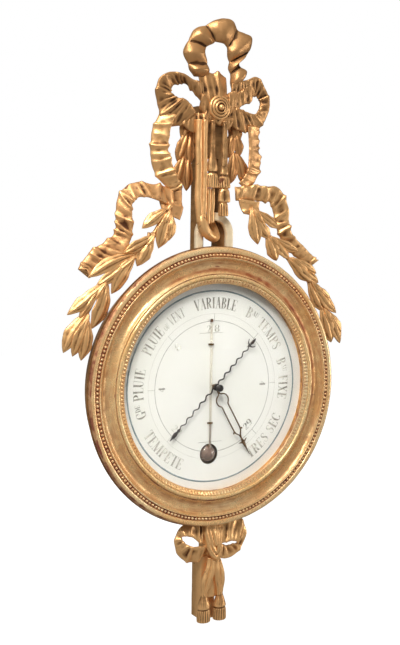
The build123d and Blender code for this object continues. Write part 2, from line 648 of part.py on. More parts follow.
with BuildPart() as rocking_shaft:
    with Locations(Plane(origin=(SHAFT_X, -SHAFT_DEPTH, DIAL_Z), z_dir=(0, 0, 1))):
        Cylinder(1.0, 40)
        with Locations((0, 0, CHAIN_Z), (0, 0, LEVER_Z)):
            Cylinder(2.2, 2.4)
    with BuildSketch(Plane(origin=(SHAFT_X, -SHAFT_DEPTH, DIAL_Z + CHAIN_Z - 0.8), z_dir=(0, 0, 1),
                           x_dir=(cos(radians(13.5)), -sin(radians(13.5)), 0))) as chain_arm:
        with Locations((0, -8)):
            Rectangle(1.6, 16)
    extrude(chain_arm.sketch, amount=1.6)
    with BuildSketch(Plane(origin=(SHAFT_X, -SHAFT_DEPTH, DIAL_Z + LEVER_Z - 0.8), z_dir=(0, 0, 1),
                           x_dir=(cos(radians(13.5)), -sin(radians(13.5)), 0))) as short_arm:
        with Locations((3.4, 0)):
            Rectangle(6.8, 1.6)
    extrude(short_arm.sketch, amount=1.6)
save(rocking_shaft.part, "rocking_shaft")

with BuildPart() as shaft_brackets:
    for z in (-17.5, 17.5):
        bar(SHAFT_X - 4, SHAFT_X + 4, z - 1.5, z + 1.5, BASE_FRONT, SHAFT_DEPTH + 3)
    with Locations(Plane(origin=(SHAFT_X, -SHAFT_DEPTH, DIAL_Z), z_dir=(0, 0, 1))):
        Cylinder(1.0 + RUNNING, 60, mode=Mode.SUBTRACT)
save(shaft_brackets.part, "shaft_brackets")

with BuildPart() as chain:
    with Locations(Plane(origin=(-22.6, -CHAIN_DEPTH, DIAL_Z + CHAIN_Z + 0.5), z_dir=(1, 0, 0))):
        Cylinder(0.35, 41)
save(chain.part, "chain")

with BuildPart() as arbor_plate:
    bar(-5, 5, -36, 36, 26, 27.4)
    for z in (-32, 32):
        disc(2.5, BASE_FRONT, 26, 0, z)
    disc(ARBOR_R + RUNNING, 25, 28, mode=Mode.SUBTRACT)
save(arbor_plate.part, "arbor_plate")

with BuildPart() as hairspring:
    with BuildSketch(front(31.2)) as coil:
        with BuildLine():
            for n in range(8):
                side = 1 if n % 2 == 0 else -1
                ThreePointArc((side * (1.8 + 0.7 * n), 0), (0, side * (2.15 + 0.7 * n)), (-side * (2.5 + 0.7 * n), 0))
        trace(line_width=0.2)
    extrude(coil.sketch, amount=0.8)
save(hairspring.part, "hairspring")

with BuildPart() as adjusting_screw:
    disc(2.0, 4.6, 14.6, SCREW_X, 0)
    disc(3.2, 3.9, 5.6, SCREW_X, 0)
    bar(SCREW_X - 4, SCREW_X + 4, -0.5, 0.5, 3.9, 4.7, mode=Mode.SUBTRACT)
save(adjusting_screw.part, "adjusting_screw")

# ---- wood screws ------------------------------------------------------------------------------
with BuildPart() as wood_screws:
    for n in range(6):
        x, z = around(60 * n + 30, DIAL_SCREWS_R)
        disc(2.4, DIAL_FACE - DIAL_THICK - 1.4, DIAL_FACE - DIAL_THICK, x, z)
        disc(SCREW_R, DIAL_FACE - DIAL_THICK - 1.4, DIAL_FACE + 5, x, z)
        x, z = around(60 * n, COVER_SCREWS_R)
        disc(2.4, COVER_BACK - 0.4, COVER_BACK, x, z)
        disc(SCREW_R, COVER_BACK - 0.4, 8.5, x, z)
    for z in PLATE_SCREWS:
        disc(SCREW_R, 0.1, 9, 0, z)
save(wood_screws.part, "wood_screws")
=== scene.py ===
"""Looks of the giltwood wheel barometer around its CAD frame. Carved and turned pieces are built here in
millimetres as (x, depth, z): x to the viewer's right and z up from the dial's centre, and depth out from
the wall."""

import json
import math
import random

import bmesh
import bpy
import numpy as np
from mathutils import Matrix, Vector, noise


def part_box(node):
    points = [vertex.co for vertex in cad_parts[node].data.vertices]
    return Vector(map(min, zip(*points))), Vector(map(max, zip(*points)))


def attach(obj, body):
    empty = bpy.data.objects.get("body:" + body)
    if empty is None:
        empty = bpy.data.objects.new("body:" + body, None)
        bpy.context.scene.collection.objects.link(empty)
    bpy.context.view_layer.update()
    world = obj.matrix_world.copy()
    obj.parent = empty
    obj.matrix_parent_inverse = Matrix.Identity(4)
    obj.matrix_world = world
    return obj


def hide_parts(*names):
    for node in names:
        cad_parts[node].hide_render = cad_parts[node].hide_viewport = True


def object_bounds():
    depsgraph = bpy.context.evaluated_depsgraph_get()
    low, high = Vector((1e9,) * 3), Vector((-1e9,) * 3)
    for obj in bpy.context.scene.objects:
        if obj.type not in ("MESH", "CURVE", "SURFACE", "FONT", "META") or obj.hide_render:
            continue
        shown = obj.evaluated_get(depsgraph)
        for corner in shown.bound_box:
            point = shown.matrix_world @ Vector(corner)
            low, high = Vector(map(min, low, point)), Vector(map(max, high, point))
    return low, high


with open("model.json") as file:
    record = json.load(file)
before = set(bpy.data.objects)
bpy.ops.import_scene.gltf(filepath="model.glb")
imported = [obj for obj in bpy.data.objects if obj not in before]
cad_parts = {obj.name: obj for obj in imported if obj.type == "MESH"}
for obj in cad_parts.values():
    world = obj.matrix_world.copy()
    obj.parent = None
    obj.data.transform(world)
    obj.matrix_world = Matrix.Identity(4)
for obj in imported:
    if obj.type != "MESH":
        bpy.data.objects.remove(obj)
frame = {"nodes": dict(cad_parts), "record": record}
CAD_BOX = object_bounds()
SCENE = bpy.context.scene
MM = 0.001
GLASS_LOW, GLASS_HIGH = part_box("glass")
DIAL_Z = (GLASS_LOW.z + GLASS_HIGH.z) / 2          # height of the dial's centre in the row frame, metres
DIAL_FACE = -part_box("dial_plate")[0].y / MM         # depth of the painted face, mm
SETTLE = 8                                          # smoothing rounds that find ridges and hollows
CAMERA_PLACE = (-0.87685, -1.51838, -0.15691)
CAMERA_AIM = (0.49592, 0.86465, -0.08028)           # direction of view
CAMERA_ROLL = math.radians(0.9)
CAMERA_LENS = 59.31
LIGHT_AIM = (0, 0, -0.3)                            # middle of the object
FLOOR_GAP = 0.03                                    # the part hangs this far above the floor
SKY_STRENGTH = 0.26
GROUND_GLOW, SKY_GLOW = (0.30, 0.23, 0.17, 1), (1, 0.95, 0.87, 1)
noise.seed_set(5)                                   # the noise is otherwise seeded from the clock


# ---- camera and light -------------------------------------------------------------------------
def add_camera():
    """A camera to the left of the object, a little above its middle, with a slight roll."""
    forward = Vector(CAMERA_AIM).normalized()
    right = forward.cross(Vector((0, 0, 1))).normalized()
    up = right.cross(forward)
    across = math.cos(CAMERA_ROLL) * right + math.sin(CAMERA_ROLL) * up
    upward = math.cos(CAMERA_ROLL) * up - math.sin(CAMERA_ROLL) * right
    data = bpy.data.cameras.new("camera")
    data.lens = CAMERA_LENS
    data.sensor_width = 36
    data.clip_start = 0.05
    data.clip_end = 50
    camera = bpy.data.objects.new("camera", data)
    turned = Matrix((across, upward, -forward)).transposed().to_4x4()
    camera.matrix_world = Matrix.Translation(CAMERA_PLACE) @ turned
    SCENE.collection.objects.link(camera)
    SCENE.camera = camera


def add_softbox(name, place, size, power, colour=(1, 1, 1)):
    """A square softbox that faces the middle of the object."""
    data = bpy.data.lights.new(name, "AREA")
    data.shape = "SQUARE"
    data.size = size
    data.energy = power
    data.color = colour
    lamp = bpy.data.objects.new(name, data)
    lamp.location = place
    lamp.rotation_mode = "QUATERNION"
    lamp.rotation_quaternion = (Vector(LIGHT_AIM) - Vector(place)).to_track_quat("-Z", "Y")
    SCENE.collection.objects.link(lamp)


# ---- material nodes ---------------------------------------------------------------------------
class Tree:
    """Short ways to add nodes to a material or a world."""

    def __init__(self, owner):
        owner.use_nodes = True
        self.tree = owner.node_tree

    def add(self, kind, inputs=(), **options):
        """A new node, with its inputs linked or set and its options chosen."""
        made = self.tree.nodes.new(kind)
        for key, value in options.items():
            setattr(made, key, value)
        for key, value in dict(inputs).items():
            self.put(made.inputs[key], value)
        return made

    def put(self, socket, value):
        """Links a socket or sets its value."""
        if isinstance(value, bpy.types.NodeSocket):
            self.tree.links.new(value, socket)
        elif socket.type == "RGBA" and len(value) == 3:
            socket.default_value = (*value, 1)
        else:
            socket.default_value = value


class Finish(Tree):
    """A material with a Principled shader."""

    def __init__(self, name):
        self.material = bpy.data.materials.new(name)
        super().__init__(self.material)
        self.shader = self.tree.nodes["Principled BSDF"]
        self.place = self.add("ShaderNodeTexCoord").outputs["Object"]

    def set(self, **inputs):
        for key, value in inputs.items():
            self.put(self.shader.inputs[key.replace("_", " ")], value)

    def stored(self, name, vector=False):
        """A value kept on the mesh's points."""
        kept = self.add("ShaderNodeAttribute", attribute_name=name)
        return kept.outputs["Vector" if vector else "Fac"]

    def noise(self, scale, detail=4.0, rough=0.55, where=None, stretch=None):
        where = where or self.place
        if stretch:
            where = self.add("ShaderNodeMapping", {"Vector": where, "Scale": stretch}).outputs["Vector"]
        texture = self.add("ShaderNodeTexNoise", {"Vector": where, "Scale": scale, "Detail": detail,
                                                  "Roughness": rough})
        return texture.outputs["Fac"]

    def maths(self, operation, a, b=0.0, clamp=False):
        return self.add("ShaderNodeMath", {0: a, 1: b}, operation=operation, use_clamp=clamp).outputs[0]

    def span(self, value, low, high, to_low=0.0, to_high=1.0):
        """The value rescaled from one span to another, held at its ends."""
        made = self.add("ShaderNodeMapRange", {"Value": value, "From Min": low, "From Max": high,
            "To Min": to_low, "To Max": to_high})
        return made.outputs["Result"]

    def mix(self, share, a, b, how="MIX"):
        made = self.add("ShaderNodeMix", data_type="RGBA", blend_type=how)
        for socket, value in ((made.inputs[0], share), (made.inputs[6], a), (made.inputs[7], b)):
            self.put(socket, value)
        return made.outputs[2]

    def bump(self, height, strength, distance, under=None):
        made = self.add("ShaderNodeBump", {"Height": height, "Strength": strength, "Distance": distance})
        if under:
            self.put(made.inputs["Normal"], under)
        return made.outputs["Normal"]


def gilding(name, leaf, bright, wash_and_shade_colour, bole, worn, rough, relief_shading=1.0, washed=0.5, metallic=0.7,
            carried=False):
    """Water gilding over red bole. Ridges are rubbed through to the bole and lightened as a painted
    highlight, and hollows are darkened brown as painted shade. The third colour is that of the brown streaks
    and the painted shade. worn is the share of bare bole, the relief scale how strong the painted highlight
    on ridges and the painted shade in hollows are, and washed how strong the brown streaks are. A carried CAD
    node stores no ridges."""
    f = Finish(name)
    flow = f.place if carried else f.stored("flow", vector=True)
    relief = 0.0 if carried else f.maths("MULTIPLY", f.stored("relief"), relief_shading)
    tone = 0.0 if carried else f.stored("tone")
    patches = f.noise(9, 5, 0.6, flow)
    streaks = f.noise(38, 6, 0.65, flow, stretch=(1, 1, 3.5))
    blotches = f.noise(55, 5, 0.6)
    grain = f.noise(420, 3, 0.6)
    warm = f.span(patches, 0.35, 0.68)
    gold = f.mix(warm, leaf, bright)
    # Painted shade: hollows (low relief) and points that store painted shade are pulled towards the dark
    # colour, on top of the brown streaks.
    wash_and_shade = f.maths("ADD", f.span(relief, 0.05, -0.6), f.span(streaks, 0.6, 0.34, 0, washed), clamp=True)
    wash_and_shade = f.maths("ADD", wash_and_shade, f.span(tone, 0.1, 1, 0, 1.2), clamp=True)
    wash_and_shade = f.maths("MULTIPLY", wash_and_shade, f.span(blotches, 0.25, 0.55, 0.55, 1))
    gold = f.mix(wash_and_shade, gold, wash_and_shade_colour)
    # Painted highlight: ridges (high relief) are lightened towards the bright colour.
    gold = f.mix(f.span(relief, 0.1, 0.7, 0, 0.8), gold, bright)
    # Bare bole shows in streaks and blotches, a little more on ridges and where painted shade is stored.
    rubbed = f.maths("ADD", f.maths("MULTIPLY", streaks, 0.55), f.maths("MULTIPLY", blotches, 0.45))
    rubbed = f.maths("ADD", rubbed, f.maths("MULTIPLY", relief, 0.05))
    rubbed = f.maths("ADD", rubbed, f.maths("MULTIPLY", tone, 0.1))
    rubbed = f.span(rubbed, 0.66 - worn, 0.74 - worn)
    colour = f.mix(rubbed, gold, f.mix(f.span(grain, 0.3, 0.7), bole, tuple(c * 0.6 for c in bole)))
    dull = f.maths("MAXIMUM", rubbed, f.maths("MULTIPLY", wash_and_shade, 0.45))
    metal = f.maths("MULTIPLY", f.maths("SUBTRACT", 1.0, f.maths("MULTIPLY", dull, 0.85), clamp=True),
        metallic)
    roughness = f.maths("ADD", f.span(f.maths("ADD", blotches, dull), 0.3, 1.4, rough, rough + 0.3),
                        f.span(grain, 0.3, 0.7, -0.04, 0.05))
    gesso = f.noise(130, 3, 0.5)
    normal = f.bump(grain, 0.22, 0.0004, f.bump(gesso, 0.35, 0.0012))
    f.set(Base_Color=colour, Metallic=metal, Roughness=roughness, Normal=normal,
        Specular_Tint=(1.0, 0.80, 0.52))
    return f.material


def bare_wood(name, light, dark):
    """Old softwood with a long grain, knots of stain and dust."""
    f = Finish(name)
    along = (12, 12, 1.2)
    grain = f.noise(60, 8, 0.62, stretch=along)
    stain = f.noise(7, 4, 0.6)
    pores = f.noise(500, 2, 0.5, stretch=along)
    colour = f.mix(f.span(grain, 0.32, 0.7), dark, light)
    colour = f.mix(f.span(stain, 0.45, 0.75, 0, 0.6), colour, tuple(c * 0.45 for c in dark))
    f.set(Base_Color=colour, Roughness=f.span(grain, 0.3, 0.7, 0.82, 0.62),
          Normal=f.bump(f.maths("ADD", grain, f.maths("MULTIPLY", pores, 0.4)), 0.4, 0.0008))
    return f.material


def old_metal(name, clean, dark, rough, metallic=1.0, tarnish=0.5):
    """Metal with tarnish spots and fine rubbing."""
    f = Finish(name)
    spots = f.noise(180, 5, 0.65)
    rubs = f.noise(900, 3, 0.6, stretch=(1, 1, 0.15))
    f.set(Base_Color=f.mix(f.span(spots, 0.45 - tarnish * 0.2, 0.72), clean, dark), Metallic=metallic,
        Roughness=f.span(f.maths("ADD", spots, f.maths("MULTIPLY", rubs, 0.35)), 0.4, 0.95, rough,
        rough + 0.3), Normal=f.bump(rubs, 0.15, 0.0002))
    return f.material


def dial_paint():
    """Ivory ground on the dial, yellowed and foxed, with fine brush marks and rubbed clouds."""
    f = Finish("dial_ground")
    clouds = f.noise(11, 5, 0.55)
    foxing = f.noise(70, 6, 0.7)
    brush = f.noise(160, 4, 0.6, stretch=(0.25, 1, 1))
    ground = f.mix(f.span(clouds, 0.35, 0.7), (0.81, 0.80, 0.77), (0.77, 0.76, 0.71))
    ground = f.mix(f.span(foxing, 0.64, 0.84, 0, 0.3), ground, (0.55, 0.47, 0.34))
    ground = f.mix(f.span(brush, 0.35, 0.8, 0, 0.2), ground, (0.76, 0.77, 0.71))
    f.set(Base_Color=ground, Roughness=f.span(clouds, 0.3, 0.7, 0.42, 0.6),
          Normal=f.bump(brush, 0.12, 0.0003))
    return f.material


def ink(name, dark, faded, wear):
    """Dial lettering, thin and rubbed so that the ground shows through in places."""
    f = Finish(name)
    rub = f.noise(48, 5, 0.7)
    fine = f.noise(320, 4, 0.65)
    share = f.maths("ADD", f.maths("MULTIPLY", rub, 0.6), f.maths("MULTIPLY", fine, 0.4))
    share = f.maths("ADD", share, f.maths("MULTIPLY", f.stored("tone"), 0.13))
    share = f.span(share, 0.38 - wear, 0.68 - wear)
    f.set(Base_Color=f.mix(share, dark, faded), Roughness=f.span(fine, 0.3, 0.7, 0.5, 0.7),
          Normal=f.bump(fine, 0.1, 0.0002))
    return f.material


def clear_glass(name, tint, rough=0.02, waves=12):
    """Old glass, slightly wavy, that lets the lamps through."""
    f = Finish(name)
    ripple = f.noise(waves, 2, 0.5)
    dust = f.noise(260, 4, 0.7)
    f.set(Base_Color=tint, Transmission_Weight=1.0, IOR=1.46,
          Roughness=f.span(dust, 0.5, 0.85, rough, rough + 0.1), Normal=f.bump(ripple, 0.06, 0.001))
    passing = f.add("ShaderNodeLightPath").outputs["Is Shadow Ray"]
    seen = f.add("ShaderNodeBsdfTransparent", {"Color": tint})
    both = f.add("ShaderNodeMixShader", {0: passing, 1: f.shader.outputs[0], 2: seen.outputs[0]})
    f.tree.links.new(both.outputs[0], f.tree.nodes["Material Output"].inputs["Surface"])
    return f.material


# ---- mesh helpers -----------------------------------------------------------------------------
def even(rows, step):
    """Rows of numbers along a Catmull-Rom curve, evenly spaced by the length of its first three columns.
    Rows of six numbers are two edges, spaced by the line between them."""
    p = np.array(rows, float)
    before = np.roll(p, 1, 0)
    before[0] = 2 * p[0] - p[1]
    after = np.roll(p, -1, 0)
    later = np.roll(p, -2, 0)
    later[-2] = 2 * p[-1] - p[-2]
    t = np.linspace(0, 1, 32, endpoint=False)[:, None]
    runs = []
    for a, b, c, d in zip(before[:-1], p[:-1], after[:-1], later[:-1]):
        bend = 2 * a - 5 * b + 4 * c - d
        runs.append(0.5 * (2 * b + (c - a) * t + bend * t ** 2 + (3 * b - a - 3 * c + d) * t ** 3))
    dense = np.concatenate(runs + [p[-1:]])
    places = dense[:, :3] if dense.shape[1] < 6 else (dense[:, :3] + dense[:, 3:6]) / 2
    length = np.concatenate([[0], np.cumsum(np.linalg.norm(np.diff(places, axis=0), axis=1))])
    at = np.linspace(0, length[-1], max(3, int(round(length[-1] / step))) + 1)
    return np.stack([np.interp(at, length, dense[:, c]) for c in range(dense.shape[1])], 1), at


def unit(v):
    """The same directions at length 1."""
    return v / np.maximum(np.linalg.norm(v, axis=-1, keepdims=True), 1e-9)


def slope(v):
    """Direction along a row of points."""
    return unit(np.gradient(v, axis=0))


class Shape:
    """Points and faces of one piece, with the flow of its surface and, for each point, a value that marks
    painted shade on the gilding and wear on the dial's ink.
    """

    def __init__(self):
        self.points, self.flow, self.tone, self.faces = [], [], [], []
        self.count = 0

    def loops(self, rings, flow, closed=False, tone=None):
        """A closed skin over rings of points, shaped (ring, point, xyz). Open rows of rings get end caps."""
        n, k = rings.shape[:2]
        start = self.count
        index = np.arange(n * k).reshape(n, k) + start
        rows = np.arange(n if closed else n - 1)
        a = index[rows]
        b = index[(rows + 1) % n]
        quads = np.stack([a, np.roll(a, -1, 1), np.roll(b, -1, 1), b], -1).reshape(-1, 4)
        self.faces += quads.tolist()
        if not closed:
            self.faces += [index[0][::-1].tolist(), index[-1].tolist()]
        self.points.append(rings.reshape(-1, 3))
        self.flow.append(flow.reshape(-1, 3))
        self.tone.append(np.zeros(n * k) if tone is None else np.broadcast_to(tone, (n, k)).reshape(-1))
        self.count += n * k


def relief_of(points, normals, edges):
    """How far each point stands out of its neighbourhood, from -1 in a hollow to 1 on a ridge."""
    degree = np.maximum(np.bincount(edges.reshape(-1), minlength=len(points)), 1)[:, None]
    soft = points.copy()
    found = np.zeros(len(points))
    for rounds, scale in ((SETTLE, 0.25), (SETTLE * 5, 0.9)):
        for _ in range(rounds):
            total = np.zeros_like(soft)
            for c in range(3):
                total[:, c] = (np.bincount(edges[:, 0], soft[edges[:, 1], c], len(points))
                               + np.bincount(edges[:, 1], soft[edges[:, 0], c], len(points)))
            soft = 0.35 * soft + 0.65 * total / degree
        found += np.clip(((points - soft) * normals).sum(1) / scale, -1, 1)
    return np.clip(found * 0.6, -1, 1)


def build(name, shape, finish, slot, body, *nodes, rough=0.0, seed=0):
    """Make the piece, give it its finish, and let it ride on its body in place of its CAD nodes."""
    points = np.concatenate(shape.points)
    if rough:
        for i, p in enumerate(points):
            spot = Vector(p) * 0.09 + Vector((seed * 7.3, 0, 0))
            points[i] = p + np.array(noise.noise_vector(spot)) * rough
    row = np.stack([points[:, 0] * MM, -points[:, 1] * MM, points[:, 2] * MM + DIAL_Z], 1)
    mesh = bpy.data.meshes.new(name)
    mesh.from_pydata(row.tolist(), [], shape.faces)
    made = bmesh.new()
    made.from_mesh(mesh)
    bmesh.ops.recalc_face_normals(made, faces=made.faces)
    made.to_mesh(mesh)
    made.free()
    mesh.update()
    count = len(mesh.vertices)
    where = np.zeros(count * 3)
    mesh.vertices.foreach_get("co", where)
    where = where.reshape(-1, 3)
    facing = np.zeros(count * 3)
    mesh.vertices.foreach_get("normal", facing)
    edges = np.zeros(len(mesh.edges) * 2, int)
    mesh.edges.foreach_get("vertices", edges)
    relief = relief_of(where / MM, facing.reshape(-1, 3), edges.reshape(-1, 2))
    flow = np.concatenate(shape.flow) * MM
    # The stored value is painted shade on gilded pieces and wear on the ink.
    tone = np.concatenate(shape.tone)
    mesh.attributes.new("relief", "FLOAT", "POINT").data.foreach_set("value", relief)
    mesh.attributes.new("tone", "FLOAT", "POINT").data.foreach_set("value", tone)
    mesh.attributes.new("flow", "FLOAT_VECTOR", "POINT").data.foreach_set("vector", flow.reshape(-1))
    mesh.shade_smooth()
    mesh.materials.append(finish)
    piece = bpy.data.objects.new(name, mesh)
    SCENE.collection.objects.link(piece)
    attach(piece, body)
    if nodes:
        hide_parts(*nodes)
    return piece


# ---- shapes -----------------------------------------------------------------------------------
def turned(shape, profile, count, tone=None, pattern=None):
    """A closed (radius, depth) profile turned about the dial's axis. pattern moves points off the profile."""
    line = np.array(profile, float)
    angle = np.linspace(0, 2 * math.pi, count, endpoint=False)[:, None]
    radius = np.broadcast_to(line[:, 0], (count, len(line))).copy()
    depth = np.broadcast_to(line[:, 1], (count, len(line))).copy()
    if pattern:
        out, forward = pattern(angle, line)
        radius += out
        depth += forward
    rings = np.stack([radius * np.sin(angle), depth, radius * np.cos(angle)], -1)
    run = np.concatenate([[0], np.cumsum(np.linalg.norm(np.diff(line, axis=0), axis=1))])
    mean = line[:, 0].mean()
    flow = np.stack([0 * radius + mean * np.sin(angle), 0 * radius + mean * np.cos(angle),
        0 * radius + 2.5 * run], -1)
    shape.loops(rings, flow, closed=True, tone=tone)


def polar(shape, count):
    """Radius, depth and clock angle of each point of a turned shape."""
    x, depth, z = np.moveaxis(shape.points[0].reshape(count, -1, 3), -1, 0)
    return np.hypot(x, z), depth, np.arctan2(x, z)


def profile_line(*parts):
    """A turned profile from points, and from arcs given as (start, middle, end) with a number of steps."""
    line = []
    for part in parts:
        if len(part) == 2:
            line.append(part)
        else:
            line += arc(*part)
    return line


def arc(start, middle, end, steps):
    """Points on the arc through three points."""
    (ax, ay), (bx, by), (cx, cy) = start, middle, end
    d = 2 * (ax * (by - cy) + bx * (cy - ay) + cx * (ay - by))
    ux = ((ax * ax + ay * ay) * (by - cy) + (bx * bx + by * by) * (cy - ay)
        + (cx * cx + cy * cy) * (ay - by)) / d
    uy = ((ax * ax + ay * ay) * (cx - bx) + (bx * bx + by * by) * (ax - cx)
        + (cx * cx + cy * cy) * (bx - ax)) / d
    radius = math.hypot(ax - ux, ay - uy)
    first = math.atan2(ay - uy, ax - ux)
    half = math.remainder(math.atan2(by - uy, bx - ux) - first, 2 * math.pi)
    rest = math.remainder(math.atan2(cy - uy, cx - ux) - math.atan2(by - uy, bx - ux), 2 * math.pi)
    return [(ux + radius * math.cos(first + (half + rest) * k / steps),
             uy + radius * math.sin(first + (half + rest) * k / steps)) for k in range(steps + 1)]


def straight(start, end, steps):
    """Points on a straight stretch, without its end."""
    return [tuple(np.array(start) + (np.array(end) - np.array(start)) * k / steps) for k in range(steps)]


def pleats(run, across, pitch, seed):
    """Heights of the pleats along a ribbon: crisp ridges that differ in strength, lean, width and reach."""
    rng = random.Random(seed)
    height = np.zeros((len(run), len(across)))
    at = -pitch * rng.random()
    while at < run[-1] + pitch:
        size = rng.uniform(0.45, 1.1)
        wide = pitch * rng.uniform(0.16, 0.36)
        lean = pitch * rng.uniform(-0.3, 0.3)
        bow = pitch * rng.uniform(-0.2, 0.2)
        side = rng.choice((-1, -1, 0, 1))
        away = run[:, None] - at - lean * across - bow * across ** 2
        front = np.where(away < 0, wide, wide * rng.uniform(1.2, 2.2))
        height += size * (1 - 0.4 * (1 + side * across) * abs(side)) * np.exp(-np.abs(away / front) ** 1.5)
        at += pitch * rng.uniform(0.5, 1.45)
    phase = run[:, None] / pitch
    swell = np.sin(phase * 1.1 + seed) * 0.3 + np.sin(phase * 0.45 + 2 * seed) * 0.35
    return height * 1.6 - 0.5 + swell


def lobes(run, ends, sharp=2.0):
    """Heights from -1 to 1 of puffs between creases, given as shares of the whole run."""
    ends = np.array(ends) * run.max()
    which = np.clip(np.searchsorted(ends, run, side="right") - 1, 0, len(ends) - 2)
    t = (run - ends[which]) / (ends[which + 1] - ends[which])
    return 1 - 2 * np.abs(2 * t - 1) ** sharp


def band(shape, stations, thick=4.6, crown=1.5, pitch=10.0, height=1.5, ruffle=0.8, seed=1,
         creases=None, sharp=1.7, corner=9, across=17, notch=0):
    """A carved ribbon between two edges. Each station is (x, depth, z) of one edge and then of the other.
    Folds run across it and ruffle its edges. creases make it puffed instead, and notch cuts its far end."""
    rows, run = even(stations, 1.0)
    a, b = rows[:, :3], rows[:, 3:]
    mid = (a + b) / 2
    width = b - a
    along = slope(mid)
    side = unit(width)
    out = unit(np.cross(along, side))
    if out[: len(out) // 2 + 1, 1].mean() < 0:
        out = -out
    w = np.sin(np.linspace(-math.pi / 2, math.pi / 2, across))
    if creases is None:
        wave = pleats(run, w, pitch, seed)
    else:
        wave = lobes(run[:, None] * np.ones(across), creases, sharp)
    half = np.linalg.norm(width, axis=1)[:, None] / 2 + ruffle * wave
    body = (1 - np.abs(w) ** corner) ** 0.5 * thick / 2
    lift = crown * (1 - w ** 2) + height * wave * (0.7 + 0.3 * np.abs(w) if creases is None else 1 - w ** 4)
    centre = mid[:, None] + side[:, None] * (half * w)[..., None]
    if notch:
        pull = notch * np.clip(1 - (run[-1] - run) / (2.5 * notch), 0, 1)[:, None] * (1 - np.abs(w))
        centre -= along[:, None] * pull[..., None]
    upper = centre + out[:, None] * (lift + body)[..., None]
    lower = centre + out[:, None] * (lift * (0.8 if creases is None else 0.25) - body)[..., None]
    rings = np.concatenate([upper, lower[:, -2:0:-1]], 1)
    top = np.stack([1.6 * half * w, 0 * half * w, 0.8 * (run[:, None] + 0 * w + seed * 130.0)], -1)
    low = top + np.array([0, 40, 0])
    flow = np.concatenate([top, low[:, -2:0:-1]], 1)
    # Painted shade: darker in the pleats' valleys, most across the middle, and over the whole under side.
    relief_shading = np.clip(0.15 - wave * 0.45, 0, 0.55) * (0.7 + 0.3 * (1 - np.abs(w)))
    tone = np.concatenate([relief_shading, np.full((len(w) - 2,) + (len(run),), 0.55).T], 1)
    shape.loops(rings, flow, tone=tone)


def tube(shape, points, sides=20, flat=1.0, grooves=0, depth=0.0, seed=1, twist=0.0):
    """A cord along (x, depth, z, radius) points, with grooves along it."""
    rows, run = even(points, 1.5)
    middle, radius = rows[:, :3], rows[:, 3:4]
    along = slope(middle)
    side = unit(np.cross(along, np.array([0.02, 1.0, 0.03])))
    out = np.cross(side, along)
    angle = np.linspace(0, 2 * math.pi, sides, endpoint=False)
    size = radius * np.ones(sides)
    if grooves:
        size = size + depth * (np.abs(np.cos((angle + twist * run[:, None]) * grooves / 2)) * 2 - 1)
    rings = (middle[:, None] + side[:, None] * (np.cos(angle) * size)[..., None]
             + out[:, None] * (np.sin(angle) * size * flat)[..., None])
    along_flow = run[:, None] * 0.5 + seed * 90 + 0 * size
    flow = np.stack([np.cos(angle) * size, np.sin(angle) * size, along_flow], -1)
    shape.loops(rings, flow)


def leaf(shape, base, tip, width, seed, arch=4.0, thick=3.6, curl=2.2, rib=1.5, lean=0.0):
    """A carved laurel leaf from (x, depth, z) base to tip, with a midrib, hollow halves and lifted edges."""
    widest = 0.64                       # share of the length at which the leaf is widest
    rng = random.Random(seed)
    base, tip = np.array(base, float), np.array(tip, float)
    length = np.linalg.norm(tip - base)
    n = max(12, int(length / 1.5))
    t = np.linspace(0, 1, n)[:, None]
    bend = rng.uniform(-0.06, 0.06) * length
    along = unit(tip - base)
    side = unit(np.cross(along, np.array([0, 1.0, 0])))
    out = np.cross(side, along)
    out = out if out[1] > 0 else -out
    side = side * math.cos(lean) + out * math.sin(lean)
    out = np.cross(side, along)
    out = out if out[1] > 0 else -out
    w = np.sin(np.linspace(-math.pi / 2, math.pi / 2, 15))
    past = np.clip((t - widest) / (1 - widest), 0, 1)
    opening = 0.3 + 0.7 * np.sin(math.pi / 2 * np.minimum(1, t / widest)) ** 1.3
    half = width / 2 * opening * (1 - past ** 1.45) ** 0.85
    half = np.maximum(half, 0.25) * (1 + 0.05 * np.sin(t * 20 + seed) * np.sin(math.pi * t))
    hump = out * arch * np.sin(math.pi * t ** 0.8)
    middle = base + (tip - base) * t + side * bend * np.sin(math.pi * t) + hump
    flank = 2.2 * (1 - np.abs(w)) ** 1.2 - 0.3 * np.exp(-((np.abs(w) - 0.42) / 0.12) ** 2)
    rise = flank + rib * np.exp(-(w / 0.16) ** 2) + curl * np.abs(w) ** 5 * (0.5 + 0.5 * past)
    rise = rise * np.minimum(1, half / (0.3 * width))
    body = (1 - np.abs(w) ** 6) ** 0.5 * thick / 2 * np.minimum(1, half / (0.2 * width))
    centre = middle[:, None] + side * (half * w)[..., None]
    upper = centre + out * (rise + body)[..., None]
    lower = centre + out * (rise * 0.3 - body)[..., None]
    rings = np.concatenate([upper, lower[:, -2:0:-1]], 1)
    run = t * length
    top = np.stack([half * w * 1.6, 0 * half * w, run * 0.8 + seed * 70 + 0 * w], -1)
    low = top + np.array([0, 40, 0])
    shade = np.exp(-t / 0.16) + 0.3 * np.abs(w) ** 4 + 0.15 * np.exp(-((np.abs(w) - 0.42) / 0.12) ** 2)
    shade = np.clip(shade, 0, 1)
    tone = np.concatenate([shade, np.full((n, len(w) - 2), 0.6)], 1)
    shape.loops(rings, np.concatenate([top, low[:, -2:0:-1]], 1), tone=tone)


